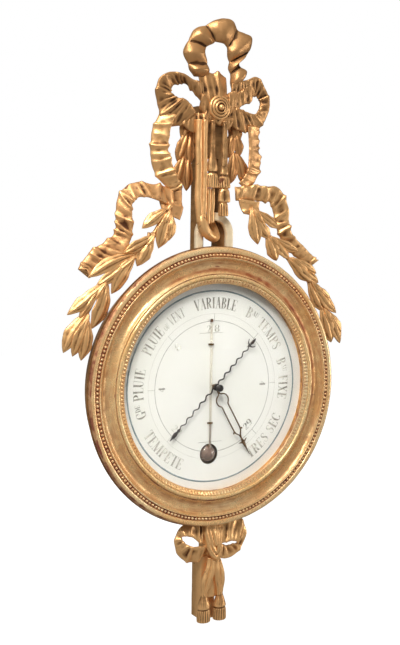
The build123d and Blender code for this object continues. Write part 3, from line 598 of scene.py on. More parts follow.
def spindle(shape, x, depth, profile, sides=108, flat=0.7, threads=(), seed=1):
    """An upright turned shape squeezed front to back, from (height, radius) pairs going down. threads are
    spans of height with vertical cords: (top, bottom, count, depth of the grooves)."""
    rows, run = even([(0, 0, z, r) for z, r in profile], 1.0)
    z, radius = rows[:, 2:3], rows[:, 3:4]
    angle = np.linspace(0, 2 * math.pi, sides, endpoint=False)
    size = np.maximum(radius, 0.3) * np.ones(sides)
    for top, bottom, count, groove in threads:
        inside = np.clip(np.minimum(top - z, z - bottom) / 1.5, 0, 1)
        size = size + inside * groove * (np.abs(np.sin(angle * count / 2 + 0.4)) ** 0.7 * 2 - 1.2)
    rings = np.stack([x + size * np.cos(angle), depth + size * flat * np.sin(angle), z + 0 * size], -1)
    flow = np.stack([size * np.cos(angle), size * np.sin(angle), -z * 0.5 + seed * 80 + 0 * size], -1)
    # Painted shade: dark lines where the grooves between the cords lie, over the whole height.
    shape.loops(rings, flow, tone=np.clip(0.9 - 1.1 * np.abs(np.sin(angle * threads[-1][2] / 2 + 0.4)), 0, 1)
                if threads else 0.0)


def rod(shape, path, low, high, place, bevel=0.0, tone=0.0):
    """A flat bar along (x, z, width) points of a plane. place carries those points to the dial's x and z."""
    rows = np.array(path, float)
    middle, half = rows[:, :2], rows[:, 2:] / 2
    along = slope(middle)
    across = np.stack([-along[:, 1], along[:, 0]], 1)
    cut = np.minimum(bevel, half * 0.6)
    rings = []
    for offset, depth in ((-half, low), (-half, high - bevel), (cut - half, high), (half - cut, high),
                          (half, high - bevel), (half, low)):
        x, z = place(middle + across * offset)
        rings.append(np.stack([x, np.full(len(rows), depth), z], 1))
    rings = np.stack(rings, 1)
    shape.loops(rings, rings, tone=tone)


# ---- studio -----------------------------------------------------------------------------------
def add_world():
    """Soft light from all round, dim and warm below and bright above. The camera sees it as plain white."""
    world = bpy.data.worlds.new("studio")
    SCENE.world = world
    sky = Tree(world)
    parts = sky.add("ShaderNodeSeparateXYZ", {0: sky.add("ShaderNodeTexCoord").outputs["Generated"]})
    height = sky.add("ShaderNodeMath", {0: parts.outputs["Z"], 1: 0.5, 2: 0.5}, operation="MULTIPLY_ADD")
    shade = sky.add("ShaderNodeValToRGB", {0: height.outputs[0]})
    shade.color_ramp.elements[0].color = GROUND_GLOW
    shade.color_ramp.elements[1].color = SKY_GLOW
    glow = sky.add("ShaderNodeBackground", {"Color": shade.outputs[0], "Strength": SKY_STRENGTH})
    plain = sky.tree.nodes["Background"]
    sky.put(plain.inputs["Color"], (1, 1, 1))
    seen = sky.add("ShaderNodeLightPath").outputs["Is Camera Ray"]
    both = sky.add("ShaderNodeMixShader", {0: seen, 1: glow.outputs[0], 2: plain.outputs[0]})
    sky.put(sky.tree.nodes["World Output"].inputs["Surface"], both.outputs[0])


def add_floor():
    """A plain pale floor of paper."""
    f = Finish("floor_paper")
    paper = f.span(f.noise(3, 3, 0.5), 0.3, 0.7)
    seen = f.add("ShaderNodeLightPath").outputs["Is Camera Ray"]
    f.set(Base_Color=f.mix(paper, (0.32, 0.32, 0.32), (0.28, 0.28, 0.28)), Roughness=0.95,
          Emission_Color=(1, 1, 1), Emission_Strength=f.span(seen, 0, 1, 0.03, 0.95))
    z = CAD_BOX[0].z - FLOOR_GAP
    mesh = bpy.data.meshes.new("floor")
    mesh.from_pydata([(-4, -4, z), (4, -4, z), (4, 4, z), (-4, 4, z)], [], [(0, 1, 2, 3)])
    mesh.materials.append(f.material)
    floor = bpy.data.objects.new("floor", mesh)
    SCENE.collection.objects.link(floor)


add_camera()
add_softbox("key", (-1.3, -1.6, 1.4), 0.7, 48, (1, 0.985, 0.96))
add_softbox("top", (-0.7, -0.7, 1.7), 0.8, 16)
add_softbox("fill", (2.6, -1.2, -0.5), 1.3, 29)
add_softbox("left", (-2.3, -0.2, 0.5), 1.0, 4)
add_softbox("back", (0.6, 2.2, 0.6), 1.4, 12)
SCENE.view_settings.view_transform = "Standard"
add_world()

# ---- finishes ---------------------------------------------------------------------------------
MOULDING = gilding("gold_leaf_burnished", (1.0, 0.56, 0.205), (1.0, 0.78, 0.44), (0.40, 0.13, 0.05),
                   (0.30, 0.08, 0.05), 0.07, 0.19, relief_shading=0.25, washed=0.45, metallic=0.4)
# A slightly brighter, yellower copy of the moulding gilding for the gorge: painted light standing in for the
# stronger light on the gorge.
HOLLOW = gilding("gold_leaf_hollow", (1.0, 0.585, 0.215), (1.0, 0.80, 0.44), (0.40, 0.13, 0.05),
                 (0.30, 0.08, 0.05), 0.07, 0.19, relief_shading=0.25, washed=0.4, metallic=0.4)
CARVING = gilding("gold_leaf_carved", (0.51, 0.228, 0.074), (0.96, 0.57, 0.25), (0.09, 0.03, 0.010),
                  (0.18, 0.055, 0.025), 0.02, 0.33, washed=0.75, metallic=0.75)
# A much darker copy of the carved gilding for the crest's top loop, bows and knot: painted shade on the less
# lit top of the crest.
SHADED_CARVING = gilding("gold_leaf_carved_shaded", (0.17, 0.072, 0.026), (0.64, 0.345, 0.142),
    (0.05, 0.018, 0.007), (0.13, 0.045, 0.02), 0.0, 0.34, washed=0.8, metallic=0.75)
RED_CARVING = gilding("gold_leaf_carved_red", (0.44, 0.19, 0.07), (0.92, 0.51, 0.22), (0.09, 0.03, 0.013),
                      (0.20, 0.065, 0.035), 0.02, 0.33, washed=0.6, metallic=0.75)
# A darker copy of the carved gilding for the husks: painted shade on this less lit part of the crest.
HUSK_CARVING = gilding("gold_leaf_carved_husks", (0.32, 0.13, 0.045), (0.74, 0.38, 0.15),
    (0.07, 0.024, 0.010), (0.17, 0.055, 0.03), 0.02, 0.34, washed=0.6, metallic=0.75)
PALE_GOLD = gilding("gold_leaf_pale", (1.0, 0.80, 0.50), (1.0, 0.90, 0.68), (0.62, 0.38, 0.20),
                    (0.50, 0.22, 0.11), 0.0, 0.3, relief_shading=0.3, washed=0.2, metallic=0.2)
CARRIED_CARVING = gilding("gold_leaf_carved_plain", (0.56, 0.28, 0.09), (0.90, 0.52, 0.20),
    (0.14, 0.05, 0.018), (0.20, 0.07, 0.035), 0.03, 0.31, metallic=0.7, carried=True)
SIDE_WOOD = gilding("case_side", (0.26, 0.125, 0.05), (0.56, 0.31, 0.12), (0.08, 0.034, 0.016),
                    (0.12, 0.045, 0.028), 0.07, 0.42, metallic=0.5, carried=True)
WOOD = bare_wood("raw_wood", (0.40, 0.25, 0.13), (0.16, 0.085, 0.04))
BRASS = old_metal("brass", (0.72, 0.50, 0.20), (0.32, 0.19, 0.07), 0.28)
DARK_BRASS = old_metal("dark_brass", (0.20, 0.115, 0.05), (0.07, 0.04, 0.025), 0.36)
STEEL = old_metal("steel", (0.52, 0.52, 0.52), (0.22, 0.19, 0.16), 0.32)
BLUED = old_metal("blued_steel", (0.055, 0.058, 0.068), (0.09, 0.06, 0.045), 0.34, 0.8)
IRON = old_metal("iron", (0.13, 0.115, 0.105), (0.16, 0.07, 0.035), 0.5, 0.8, 0.9)
KNOB = old_metal("black_knob", (0.012, 0.012, 0.013), (0.05, 0.04, 0.035), 0.22, 0.0)
DIAL = dial_paint()
INK = ink("dial_ink", (0.13, 0.12, 0.10), (0.62, 0.60, 0.53), -0.05)
RING_INK = ink("dial_ring_ink", (0.13, 0.19, 0.21), (0.42, 0.48, 0.49), -0.04)
FINE_INK = ink("dial_fine_ink", (0.14, 0.13, 0.11), (0.55, 0.53, 0.47), -0.05)
PANE = clear_glass("window_glass", (0.985, 0.99, 0.98))
TUBE_GLASS = clear_glass("thermometer_glass", (0.90, 0.88, 0.84), 0.05, 60)
SPIRIT = old_metal("spirit", (0.24, 0.15, 0.12), (0.11, 0.075, 0.06), 0.4, 0.0)

by_slot = {"gilt_moulding": CARRIED_CARVING, "gilt_carving": CARRIED_CARVING,
    "pale_gilding": CARRIED_CARVING, "case_wood": WOOD, "dial_paint": DIAL, "glass": PANE, "brass": BRASS,
    "blued_steel": BLUED, "black_knob": KNOB, "iron": IRON, "steel": STEEL, "thermometer_glass": TUBE_GLASS,
    "spirit": SPIRIT}
by_node = {"drum_case": SIDE_WOOD, "upright_board": SIDE_WOOD, "glass_bush": KNOB, "hand_collet": BLUED,
           "centre_bush": DARK_BRASS, "thermometer_clips": DARK_BRASS}
for part in frame["record"]["subparts"]:
    kept = frame["nodes"][part["node"]].data.materials
    kept.clear()
    kept.append(by_node.get(part["node"], by_slot[part["material_slot"]]))
add_floor()

# ---- drum mouldings ---------------------------------------------------------------------------
RING_STEPS = 420
PEARL_COUNT, PEARL_RING, PEARL_SIZE, PEARL_HEIGHT = 206, 214.7, 2.45, 3.0
CHANNEL_FLOOR = 52.9
TIPS = 180
TIPS_INNER, TIPS_OUTER = 169.4, 176.4


def outer_torus():
    """The half-round outer moulding, with the channel that holds the pearls."""
    made = Shape()
    turned(made, profile_line(
        (209.7, 45.0), (225.2, 45.0), ((225.4, 45.2), (227.4, 51.2), (218.4, 54.4), 26), (218.1, 53.4),
        (217.6, 53.1), *straight((217.2, 53.0), (211.9, 53.0), 8), (211.6, 53.4), (211.3, 55.2),
        (210.9, 55.6), (209.9, 55.6), (209.7, 55.2)), RING_STEPS)
    radius, depth, clock = polar(made, RING_STEPS)
    # Painted shade: the channel under the pearls, the outer back of the torus all round, and its outer rim on
    # the left side, away from the key light, are darkened.
    channel = (radius > 211.5) & (radius < 217.9) & (depth > 50)
    left = np.clip(-1.7 * np.sin(clock + 0.15) - 0.1, 0, 1)
    flank = np.maximum(np.clip((52.6 - depth) / 2.2, 0, 1) * 0.8, np.clip((radius - 223.6) / 2, 0, 1) * left)
    made.tone = [np.maximum(channel, flank * (radius > 222)).reshape(-1)]
    build("outer_torus", made, MOULDING, "gilt_moulding", "case", "outer_moulding", rough=0.28, seed=1)


def pearl_row():
    """Slightly uneven pearls in the channel, with painted shade at their feet."""
    made = Shape()
    theta = np.linspace(0, 2 * math.pi, 12, endpoint=False)
    for n in range(PEARL_COUNT):
        swing = 2 * math.pi * n / PEARL_COUNT
        rng = random.Random(n)
        size = PEARL_SIZE * rng.uniform(0.93, 1.05)
        high = PEARL_HEIGHT * rng.uniform(0.9, 1.05)
        rings = []
        for k in range(7):
            tilt = math.pi / 2 * k / 6.3
            across = PEARL_RING + size * math.cos(tilt) * np.cos(theta)
            beside = swing + size * math.cos(tilt) * np.sin(theta) * 1.12 / PEARL_RING
            depth = CHANNEL_FLOOR + high * math.sin(tilt) + 0 * theta
            rings.append(np.stack([across * np.sin(beside), depth, across * np.cos(beside)], -1))
        # Painted shade: darkest at each pearl's foot, fading to none at its top.
        made.loops(np.array(rings), np.array(rings), tone=np.linspace(0.9, 0, 7)[:, None])
    build("pearls", made, MOULDING, "gilt_moulding", "case", "pearl_row")


def gorge():
    """The wide hollow moulding, a groove and the bead inside it."""
    made = Shape()
    turned(made, profile_line(
        (177.2, 36.3), (188, 36.3), (188, 45.0), (209.4, 45.0), (209.4, 54.6),
        ((208.9, 55.1), (196.0, 47.3), (185.3, 54.1), 30), (184.4, 54.2), (183.9, 53.3),
        ((183.5, 53.2), (180.3, 57.0), (177.2, 53.2), 16)), RING_STEPS)
    radius, depth, clock = polar(made, RING_STEPS)
    # The inner flank of the hollow is darkened, most towards the upper right, with broad patches round the
    # ring: partly bole wear, partly painted shade on the side turned from the light. The groove beside the
    # bead is darkened as painted shade.
    inner_side = np.exp(-((radius - 190.5) / 4.0) ** 2)
    groove = 0.9 * np.exp(-((radius - 184.3) / 0.9) ** 2)
    gorge_wear_and_shade = inner_side * (0.46 + 0.28 * np.cos(clock - 0.8)) + 0.2 * np.cos(2 * clock - 1.2) - 0.1
    made.tone = [np.clip(gorge_wear_and_shade + groove, 0, 0.9).reshape(-1)]
    build("gorge", made, HOLLOW, "gilt_moulding", "case", "gorge_moulding", rough=0.32, seed=2)


def tips(angle, line):
    """Leaf tips down the sight slope: a pointed leaf with a rib, and a bead between two leaves."""
    share = (angle * TIPS / (2 * math.pi)) % 1 * 2 - 1
    v = np.clip((line[:, 0] - TIPS_INNER) / (TIPS_OUTER - TIPS_INNER), 0, 1)
    on = (line[:, 1] > 52.2) & (line[:, 0] > 168.7)
    edge = 0.92 * (1 - (1 - v) ** 2.2)
    inside = np.clip((edge - np.abs(share)) / 0.22, 0, 1)
    ridge = np.exp(-(share / 0.16) ** 2) * 0.35
    bead = np.clip(1 - np.hypot((np.abs(share) - 1) / 0.35, (v - 0.25) / 0.28), 0, 1)
    height = (inside * (0.75 + ridge) + bead * 0.8 - 0.25) * on * np.minimum(1,
        np.minimum(v, 1 - v) * 12 + 0.2)
    return -0.25 * height, 1.0 * height


def leaf_tips():
    """The sight moulding round the glass, with its ring of leaf tips."""
    made = Shape()
    turned(made, profile_line((169.0, 48.5), *straight((168.5, 48.8), (168.5, 52.0), 4),
        *straight((168.8, 52.4), (176.7, 54.6), 18), (176.9, 54.4), (176.9, 48.5)), TIPS * 12, pattern=tips)
    radius, depth, _ = polar(made, TIPS * 12)
    # Painted shade: the inner wall behind the slope and the hollows between the tips are darkened.
    low = np.clip((52.4 + 0.28 * (radius - 168.8) - depth) / 0.5, 0, 1)
    made.tone = [np.where(depth < 52.1, 0.9, 0.8 * low).reshape(-1)]
    build("leaf_tips", made, MOULDING, "gilt_moulding", "case", "sight_moulding", "leaf_tip_row")


outer_torus()
pearl_row()
gorge()
leaf_tips()

# ---- crest ribbons ----------------------------------------------------------------------------
def carve(node, shape, finish=CARVING, rough=0.5, seed=0):
    """Build a carved piece of the case in place of its CAD node."""
    build(node + "_carved", shape, finish, "gilt_carving", "case", node, rough=rough, seed=seed)


def ribbons(node, finish, seed, *bands, rough=0.5):
    """A carved piece made of bands, each given as its stations and the way it is cut."""
    made = Shape()
    for stations, cut in bands:
        band(made, stations, **cut)
    carve(node, made, finish, rough, seed)


ribbons("top_loop", SHADED_CARVING, 3,
    ([(-44, 32, 496, -17, 32, 498), (-55, 32, 515, -17, 32, 517), (-61, 32, 531, -24, 32, 531),
    (-57, 32, 545, -22, 32, 540), (-50, 32, 557, -15, 32, 547), (-39, 32, 570, -10, 32, 550),
    (-22, 33, 579, -3, 33, 552), (-6, 34, 586, 4, 34, 553), (12, 34, 590, 9, 34, 553),
    (27, 34, 588, 13, 34, 550), (37, 33, 577, 17, 33, 544), (50, 32, 572, 19, 32, 538),
    (63, 31, 566, 21, 31, 532), (64, 30, 550, 22, 30, 526), (54, 30, 537, 23, 30, 518),
    (43, 30, 528, 24, 30, 510), (45, 31, 518, 25, 31, 502), (54, 32, 511, 26, 32, 492),
    (48, 32, 496, 27, 32, 480)], dict(thick=12, crown=2.5, height=4.2, ruffle=1.6,
    creases=(0, 0.09, 0.25, 0.385, 0.6, 0.765, 0.875, 1.0), sharp=1.6, corner=3, across=25, seed=3)),
    rough=0.6)

ribbons("bow_left", SHADED_CARVING, 5,
    ([(-30, 40, 488, -22, 30, 450), (-48, 40, 490, -36, 28, 466), (-64, 40, 496, -50, 26, 481),
    (-78, 39, 499, -62, 25, 482), (-93, 37, 496, -73, 24, 480), (-105, 33, 487, -81, 28, 474),
    (-108, 29, 470, -84, 34, 465), (-106, 26, 455, -80, 39, 462), (-100, 25, 438, -71, 41, 459),
    (-89, 26, 424, -62, 42, 458), (-74, 28, 416, -52, 42, 450), (-62, 30, 418, -42, 41, 441)],
    dict(crown=0.8, pitch=9.5, height=2.3, ruffle=1.5, seed=5)),
    ([(-64, 33, 420, -56, 30, 446), (-50, 35, 409, -48, 33, 440), (-40, 37, 407, -38, 35, 438),
    (-29, 38, 413, -28, 36, 440), (-15, 38, 423, -16, 36, 445)], dict(crown=1.2, pitch=8, height=2.4,
    ruffle=1.0, seed=6)))

ribbons("bow_right", SHADED_CARVING, 8,
    ([(25, 38, 490, 27, 30, 462), (40, 40, 495, 43, 30, 464), (55, 40, 499, 58, 28, 468),
    (72, 39, 504, 71, 27, 474), (87, 38, 490, 79, 27, 473), (97, 36, 477, 84, 26, 467),
    (101, 34, 464, 84, 28, 458), (100, 30, 450, 78, 32, 450), (94, 27, 433, 70, 37, 444),
    (84, 26, 419, 56, 40, 446), (64, 28, 414, 42, 40, 450), (40, 32, 417, 30, 38, 452),
    (22, 34, 424, 18, 37, 454)], dict(crown=0.8, pitch=9, height=2.3, ruffle=1.5, seed=8)),
    ([(24, 36, 470, 34, 30, 448), (38, 38, 478, 46, 33, 454), (52, 37, 486, 60, 31, 462),
    (62, 33, 500, 72, 28, 478)], dict(crown=1, pitch=11, height=2.0, ruffle=1.2, seed=9)))

ribbons("fall_left", CARVING, 12,
    ([(-101, 25, 434, -74, 35, 434), (-111, 23, 410, -84, 35, 412), (-114, 23, 388, -88, 35, 386),
    (-113, 23, 364, -86, 35, 368), (-105, 23, 342, -78, 35, 350), (-88, 24, 322, -68, 34, 334),
    (-68, 25, 311, -58, 32, 322)], dict(thick=4.8, crown=1.2, pitch=12.5, height=2.6, ruffle=2.0, seed=12)))

ribbons("fall_right", RED_CARVING, 14,
    ([(59, 33, 424, 83, 23, 424), (63, 33, 398, 89, 23, 396), (63, 33, 376, 91, 23, 374),
    (61, 33, 356, 89, 23, 352), (53, 32, 340, 81, 23, 334), (46, 30, 332, 66, 24, 320)],
    dict(thick=4.8, crown=1.2, pitch=12, height=2.2, ruffle=1.8, seed=14)))

ribbons("sash_left", RED_CARVING, 17,
    ([(-60, 25, 321, -63, 31, 291), (-84, 23, 323, -84, 33, 293), (-104, 23, 324, -102, 34, 298),
    (-126, 22, 329, -122, 34, 303), (-148, 22, 326, -138, 34, 301), (-164, 22, 313, -148, 34, 292),
    (-171, 22, 292, -150, 34, 276), (-170, 22, 268, -148, 34, 258), (-175, 22, 246, -152, 34, 236),
    (-192, 23, 232, -164, 34, 218), (-212, 24, 220, -186, 33, 204), (-228, 25, 206, -206, 32, 190),
    (-237, 26, 192, -219, 31, 177)], dict(thick=4.8, crown=0.8, pitch=14, height=2.4, ruffle=2.0, seed=17,
    notch=7)), ([(-100, 27, 301, -60, 33, 297), (-97, 29, 288, -61, 35, 280), (-93, 30, 281, -66, 35, 269)],
    dict(pitch=11, height=1.2, ruffle=0.6, seed=18)))

ribbons("sash_right", CARVING, 21,
    ([(38, 31, 325, 44, 26, 302), (58, 32, 328, 62, 25, 302), (78, 32, 331, 80, 24, 303),
    (98, 33, 328, 98, 24, 303), (118, 33, 328, 110, 24, 303), (136, 33, 312, 116, 24, 292),
    (145, 33, 290, 121, 24, 274), (146, 32, 266, 127, 24, 256), (158, 31, 246, 138, 23, 236),
    (178, 31, 232, 154, 23, 220), (194, 30, 219, 174, 24, 206), (208, 30, 206, 196, 25, 190)],
    dict(thick=4.8, crown=0.8, pitch=13.5, height=2.4, ruffle=2.0, seed=21, notch=6)),
    ([(46, 28, 306, 84, 33, 302), (50, 29, 292, 84, 34, 288), (56, 30, 282, 82, 34, 278)],
    dict(pitch=11, height=1.2, ruffle=0.6, seed=22)))

# ---- knot and rosette -------------------------------------------------------------------------
def knob(shape, x, z, profile, count=96, flutes=None):
    """A round boss facing the viewer, from (radius, depth) pairs going from its back rim to its middle."""
    line = np.array(profile, float)
    angle = np.linspace(0, 2 * math.pi, count, endpoint=False)
    radius = line[:, :1] * np.ones(count)
    depth = line[:, 1:] * np.ones(count)
    if flutes:
        number, size = flutes
        wave = np.abs(np.sin(angle * number / 2 + 0.5 * np.sin(angle * 3))) * 2 - 1
        reach = np.clip(line[:, :1] / line[:, 0].max(), 0, 1)
        radius = radius + wave * size * reach
        depth = depth + wave * size * 0.8 * reach * (line[:, 1:] > line[0, 1])
    rings = np.stack([x + radius * np.sin(angle), depth, z + radius * np.cos(angle)], -1)
    run = np.concatenate([[0], np.cumsum(np.linalg.norm(np.diff(line, axis=0), axis=1))])[:, None]
    flow = np.stack([15 * np.sin(angle) + 0 * run, 15 * np.cos(angle) + 0 * run, run * 2 + 0 * angle], -1)
    shape.loops(rings, flow)


knot = Shape()
knob(knot, 2, 452, [(14, 19.5), (20, 20), (25, 24), (26, 30), (25, 34), (21, 38), (14, 40), (6, 40.5)],
    flutes=(11, 2.4))
band(knot, [(-34, 31, 497, -24, 38, 458), (-22, 33, 504, -15, 39, 456), (-10, 35, 503, -7, 40, 455),
    (-1, 36, 506, 0, 41, 455), (7, 34, 503, 7, 40, 456), (16, 31, 500, 14, 38, 458)], thick=5, crown=0.5,
    pitch=9, height=2.4, ruffle=1.0, seed=25)
band(knot, [(-30, 36, 470, -32, 31, 446), (-16, 40, 458, -20, 36, 434), (-2, 42, 446, -6, 38, 424),
    (10, 42, 438, 6, 38, 420), (26, 40, 434, 22, 34, 416)], thick=5, crown=1, height=2.0, seed=26)
band(knot, [(18, 38, 474, 20, 36, 440), (28, 39, 478, 30, 35, 444), (40, 36, 476, 42, 32, 448)], thick=5,
    crown=1, pitch=8, height=1.4, seed=27)
carve("knot", knot, SHADED_CARVING, seed=25)

button = Shape()
knob(button, 0, 449, [(17.5, 39.6), (19.0, 40.2), (19.4, 42.0), (18.9, 43.8), (17.6, 44.9), (16.3, 44.7),
    (15.7, 43.9), (15.2, 43.9), (14.6, 45.6), (13.4, 46.8), (12.0, 46.7), (11.0, 45.6), (10.4, 45.4),
    (9.8, 46.6), (8.9, 47.9), (7.9, 48.0), (7.0, 46.9), (6.2, 46.0), (5.4, 46.2), (4.8, 48.2), (4.0, 50.2),
    (2.8, 51.5), (1.4, 52.0), (0.3, 52.1)], count=120)
build("rosette_turned", button, CARVING, "gilt_carving", "case", "rosette", rough=0.25, seed=31)

# ---- hanging husks and garlands ---------------------------------------------------------------
def husks(node, leaves, twig, first, seed):
    """Husks hanging in pairs down a twig, each from the base and tip of its leaf."""
    made = Shape()
    for n, (x0, z0, x1, z1, width) in enumerate(leaves):
        leaf(made, (x0, 20, z0), (x1, 21, z1), width, first + n, arch=3.5, thick=4.5, curl=1.6, rib=1.8)
    tube(made, [(x, 18, z, size) for x, z, size in twig], seed=first // 10)
    carve(node, made, HUSK_CARVING, rough=0.45, seed=seed)


husks("husks_left", [(-42, 440, -56, 396, 24), (-36, 436, -36, 390, 20), (-48, 412, -65, 362, 24),
                     (-42, 408, -44, 356, 22), (-54, 374, -68, 320, 24), (-46, 372, -47, 316, 22)],
      [(-31, 438, 4), (-40, 405, 4), (-46, 370, 4), (-47, 340, 3)], 40, 33)
husks("husks_right", [(36, 434, 50, 398, 19), (35, 415, 30, 372, 20), (40, 413, 50, 374, 18),
                      (38, 384, 34, 330, 22), (44, 382, 60, 330, 22)],
      [(31, 436, 4), (36, 410, 4), (39, 380, 4), (42, 350, 3)], 50, 34)

# (x, z) of each leaf's base and tip, and its width
LEFT_LEAVES = [(-92, 284, -134, 255, 17), (-90, 280, -106, 224, 24), (-84, 276, -88, 236, 13),
               (-116, 244, -142, 196, 22), (-114, 244, -168, 216, 16), (-122, 246, -124, 208, 12),
               (-152, 212, -224, 179, 18), (-150, 208, -186, 154, 22), (-156, 206, -212, 166, 17),
               (-198, 170, -258, 123, 19), (-196, 168, -219, 101, 24), (-204, 168, -240, 116, 13),
               (-228, 122, -264, 66, 19), (-226, 118, -250, 60, 18), (-228, 116, -236, 53, 18)]
RIGHT_LEAVES = [(68, 288, 80, 232, 20), (74, 286, 119, 259, 15), (70, 282, 104, 240, 18),
                (98, 246, 118, 205, 20), (102, 244, 141, 208, 19), (108, 244, 160, 222, 14),
                (142, 208, 184, 170, 20), (150, 206, 204, 168, 18), (154, 208, 199, 184, 14),
                (186, 170, 218, 118, 19), (192, 166, 243, 115, 18), (192, 168, 230, 140, 13),
                (214, 122, 236, 64, 19), (218, 120, 253, 62, 18), (224, 118, 254, 80, 14)]


TWIG_DEPTH = 37.5


def garland(node, leaves, twig, seed):
    """Leaves in threes along a twig, each three over the next, with a bud on each three."""
    made = Shape()
    last_three = len(leaves) - 3
    tuck = 0.08                         # share of its length that each leaf starts behind its base
    for n, (x0, z0, x1, z1, width) in enumerate(leaves):
        leaf(made, (x0 - tuck * (x1 - x0), TWIG_DEPTH, z0 - tuck * (z1 - z0)),
            (x1, TWIG_DEPTH + 2 * (n % 3 > 0), z1), width * (1.15 if n < last_three else 1.3), seed + n,
            thick=3.8, curl=1.4, rib=1.2, lean=(0.3, -0.15, 0.1)[n % 3])
    for k in range(0, len(leaves), 3):
        x0, z0, x1, z1, _ = np.mean(leaves[k:k + 3], 0)
        leaf(made, (x0 - 0.1 * (x1 - x0), 41, z0 - 0.1 * (z1 - z0)),
            (x0 + 0.45 * (x1 - x0), 42, z0 + 0.45 * (z1 - z0)), 12, seed + 40 + k, arch=2.5, thick=3.6,
            curl=1.0, rib=1.2)
    tube(made, [(x, TWIG_DEPTH, z, 3.2) for x, z in twig], seed=seed)
    carve(node, made, seed=seed)


garland("garland_left", LEFT_LEAVES,
        [(-84, 292), (-100, 268), (-118, 242), (-156, 209), (-200, 166), (-230, 118)], 60)
garland("garland_right", RIGHT_LEAVES,
        [(66, 292), (82, 268), (101, 242), (146, 206), (188, 166), (216, 118)], 80)

# ---- rope, arch and crest tassels -------------------------------------------------------------
ARCH_MIDDLE, ARCH_OUTER, ARCH_INNER, ARCH_DEPTH = 248, 35, 21.5, 29.7


def hanging_arch():
    """The small round-headed arch that the rope hooks through."""
    left = [(-ARCH_OUTER, ARCH_DEPTH, z, -ARCH_INNER, ARCH_DEPTH, z) for z in (223, 229, 236, 243)]
    head = [(-ARCH_OUTER * math.cos(a), ARCH_DEPTH, ARCH_MIDDLE + ARCH_OUTER * math.sin(a),
             -ARCH_INNER * math.cos(a), ARCH_DEPTH, ARCH_MIDDLE + ARCH_INNER * math.sin(a))
            for a in np.linspace(0, math.pi, 15)]
    right = [(-x0, d0, z0, -x1, d1, z1) for x0, d0, z0, x1, d1, z1 in reversed(left)]
    made = Shape()
    band(made, left + head + right, thick=9.4, crown=0.5, height=0.0, ruffle=0.0, across=21)
    build("arch_carved", made, PALE_GOLD, "pale_gilding", "case", "hanging_arch", rough=0.35, seed=36)


hanging_arch()

rope = Shape()
for n, (x, size) in enumerate(((-37.2, 5.4), (-26.4, 5.0))):
    tube(rope, [(x, 41.5, 428, size), (x - 0.6, 42, 390, size), (x + 0.5, 42, 350, size * 0.95),
        (x, 42, 310, size), (x + (-31 - x) * 0.25, 42.4, 284, size), (x + (-31 - x) * 0.6, 43, 266, size)],
        sides=30, grooves=3, depth=0.3, seed=10 + n, twist=0.008 * (2 * n - 1))
tube(rope, [(-31.8, 40.5, 426, 2.6), (-31.6, 41, 360, 2.4), (-31.4, 41.4, 290, 2.8)], seed=13)
tube(rope, [(-31.5, 43, 279, 5.5), (-30, 43.6, 266, 8.2), (-23, 43.5, 252, 8.4), (-9, 39, 243.5, 8),
    (3, 29.5, 244.5, 7.6), (6, 20.5, 254, 6.6), (5.4, 13, 269, 5.6), (5, 9.5, 285, 5)], sides=30, grooves=5,
    depth=0.35, seed=14, twist=0.02)
build("rope_carved", rope, CARVING, "gilt_carving", "case", "hanging_rope", rough=0.35, seed=38)

tassels = Shape()
spindle(tassels, -12.6, 43, [(428, 3.6), (412, 3.3), (396, 3.9), (382, 4.4), (372, 5.6), (362, 8.0),
    (354, 9.0), (348.5, 8.4), (346.4, 6.9), (344.6, 7.4), (342.6, 8.8), (336, 9.5), (328, 10.3), (323, 10.6),
    (321.6, 9.4)], threads=[(424, 386, 4, 0.5), (343, 321, 16, 0.7)], seed=1)
for x, top, low in ((-16.6, 321, 264), (-9.4, 321, 266)):
    tube(tassels, [(x, 41, top, 3.3), (x, 41.4, 300, 3.5), (x - 0.4, 41, 282, 3.3), (x, 40.5, low, 3.0)],
        flat=0.7, seed=int(20 + x))
spindle(tassels, 9.8, 43, [(428, 3.8), (404, 4.1), (384, 4.6), (366, 5.2), (352, 6.2), (345, 7.2),
    (342.6, 6.2), (340.8, 6.8), (338, 8.6), (331, 9.8), (324, 10.7), (321.6, 9.4)],
    threads=[(424, 356, 4, 0.6), (340, 321, 14, 0.8)], seed=2)
spindle(tassels, 10.2, 43, [(322, 6), (319, 8.2), (312, 9.2), (304, 10.0), (300, 9.8), (298.8, 7.6)],
    threads=[(318, 298, 3, 1.2)], seed=3)
spindle(tassels, 9.4, 43, [(300, 5.2), (296, 7.0), (288, 7.8), (280, 8.2), (276.8, 7.4)],
    threads=[(297, 276, 10, 0.7)], seed=4)
carve("crest_tassels", tassels, rough=0.35, seed=40)

# ---- pendant ----------------------------------------------------------------------------------
ribbons("pendant_bow", CARVING, 42,
    ([(-2, 31, -226, -9, 41, -262), (-17, 31, -224, -23, 42, -257), (-33, 31, -223, -37, 42, -246),
    (-47, 31, -224, -49, 41, -242), (-59, 31, -232, -54, 39, -243), (-65, 31, -246, -55, 38, -246.5),
    (-65, 31, -260, -52, 39, -251), (-61, 31, -274, -47, 41, -256), (-47, 31, -286, -37, 42, -261),
    (-30, 32, -290, -26, 42, -262), (-18, 32, -284, -14, 41, -263), (-2, 32, -276, -4, 40, -258)],
    dict(thick=4.4, crown=0.6, pitch=12, height=2.0, ruffle=1.2, seed=42)),
    ([(11, 31, -228, 9, 41, -264), (27, 31, -226, 21, 42, -262), (43, 31, -226, 35, 42, -260),
    (59, 31, -228, 45, 41, -262), (68, 33, -240, 50, 39, -266), (68, 36, -256, 50, 36, -268),
    (60, 39, -272, 45, 34, -268), (47, 41, -283, 36, 33, -270), (31, 41, -290, 26, 33, -268),
    (13, 40, -288, 13, 33, -266)], dict(thick=4.4, crown=0.6, pitch=12, height=2.0, ruffle=1.2, seed=44)),
    rough=0.45)

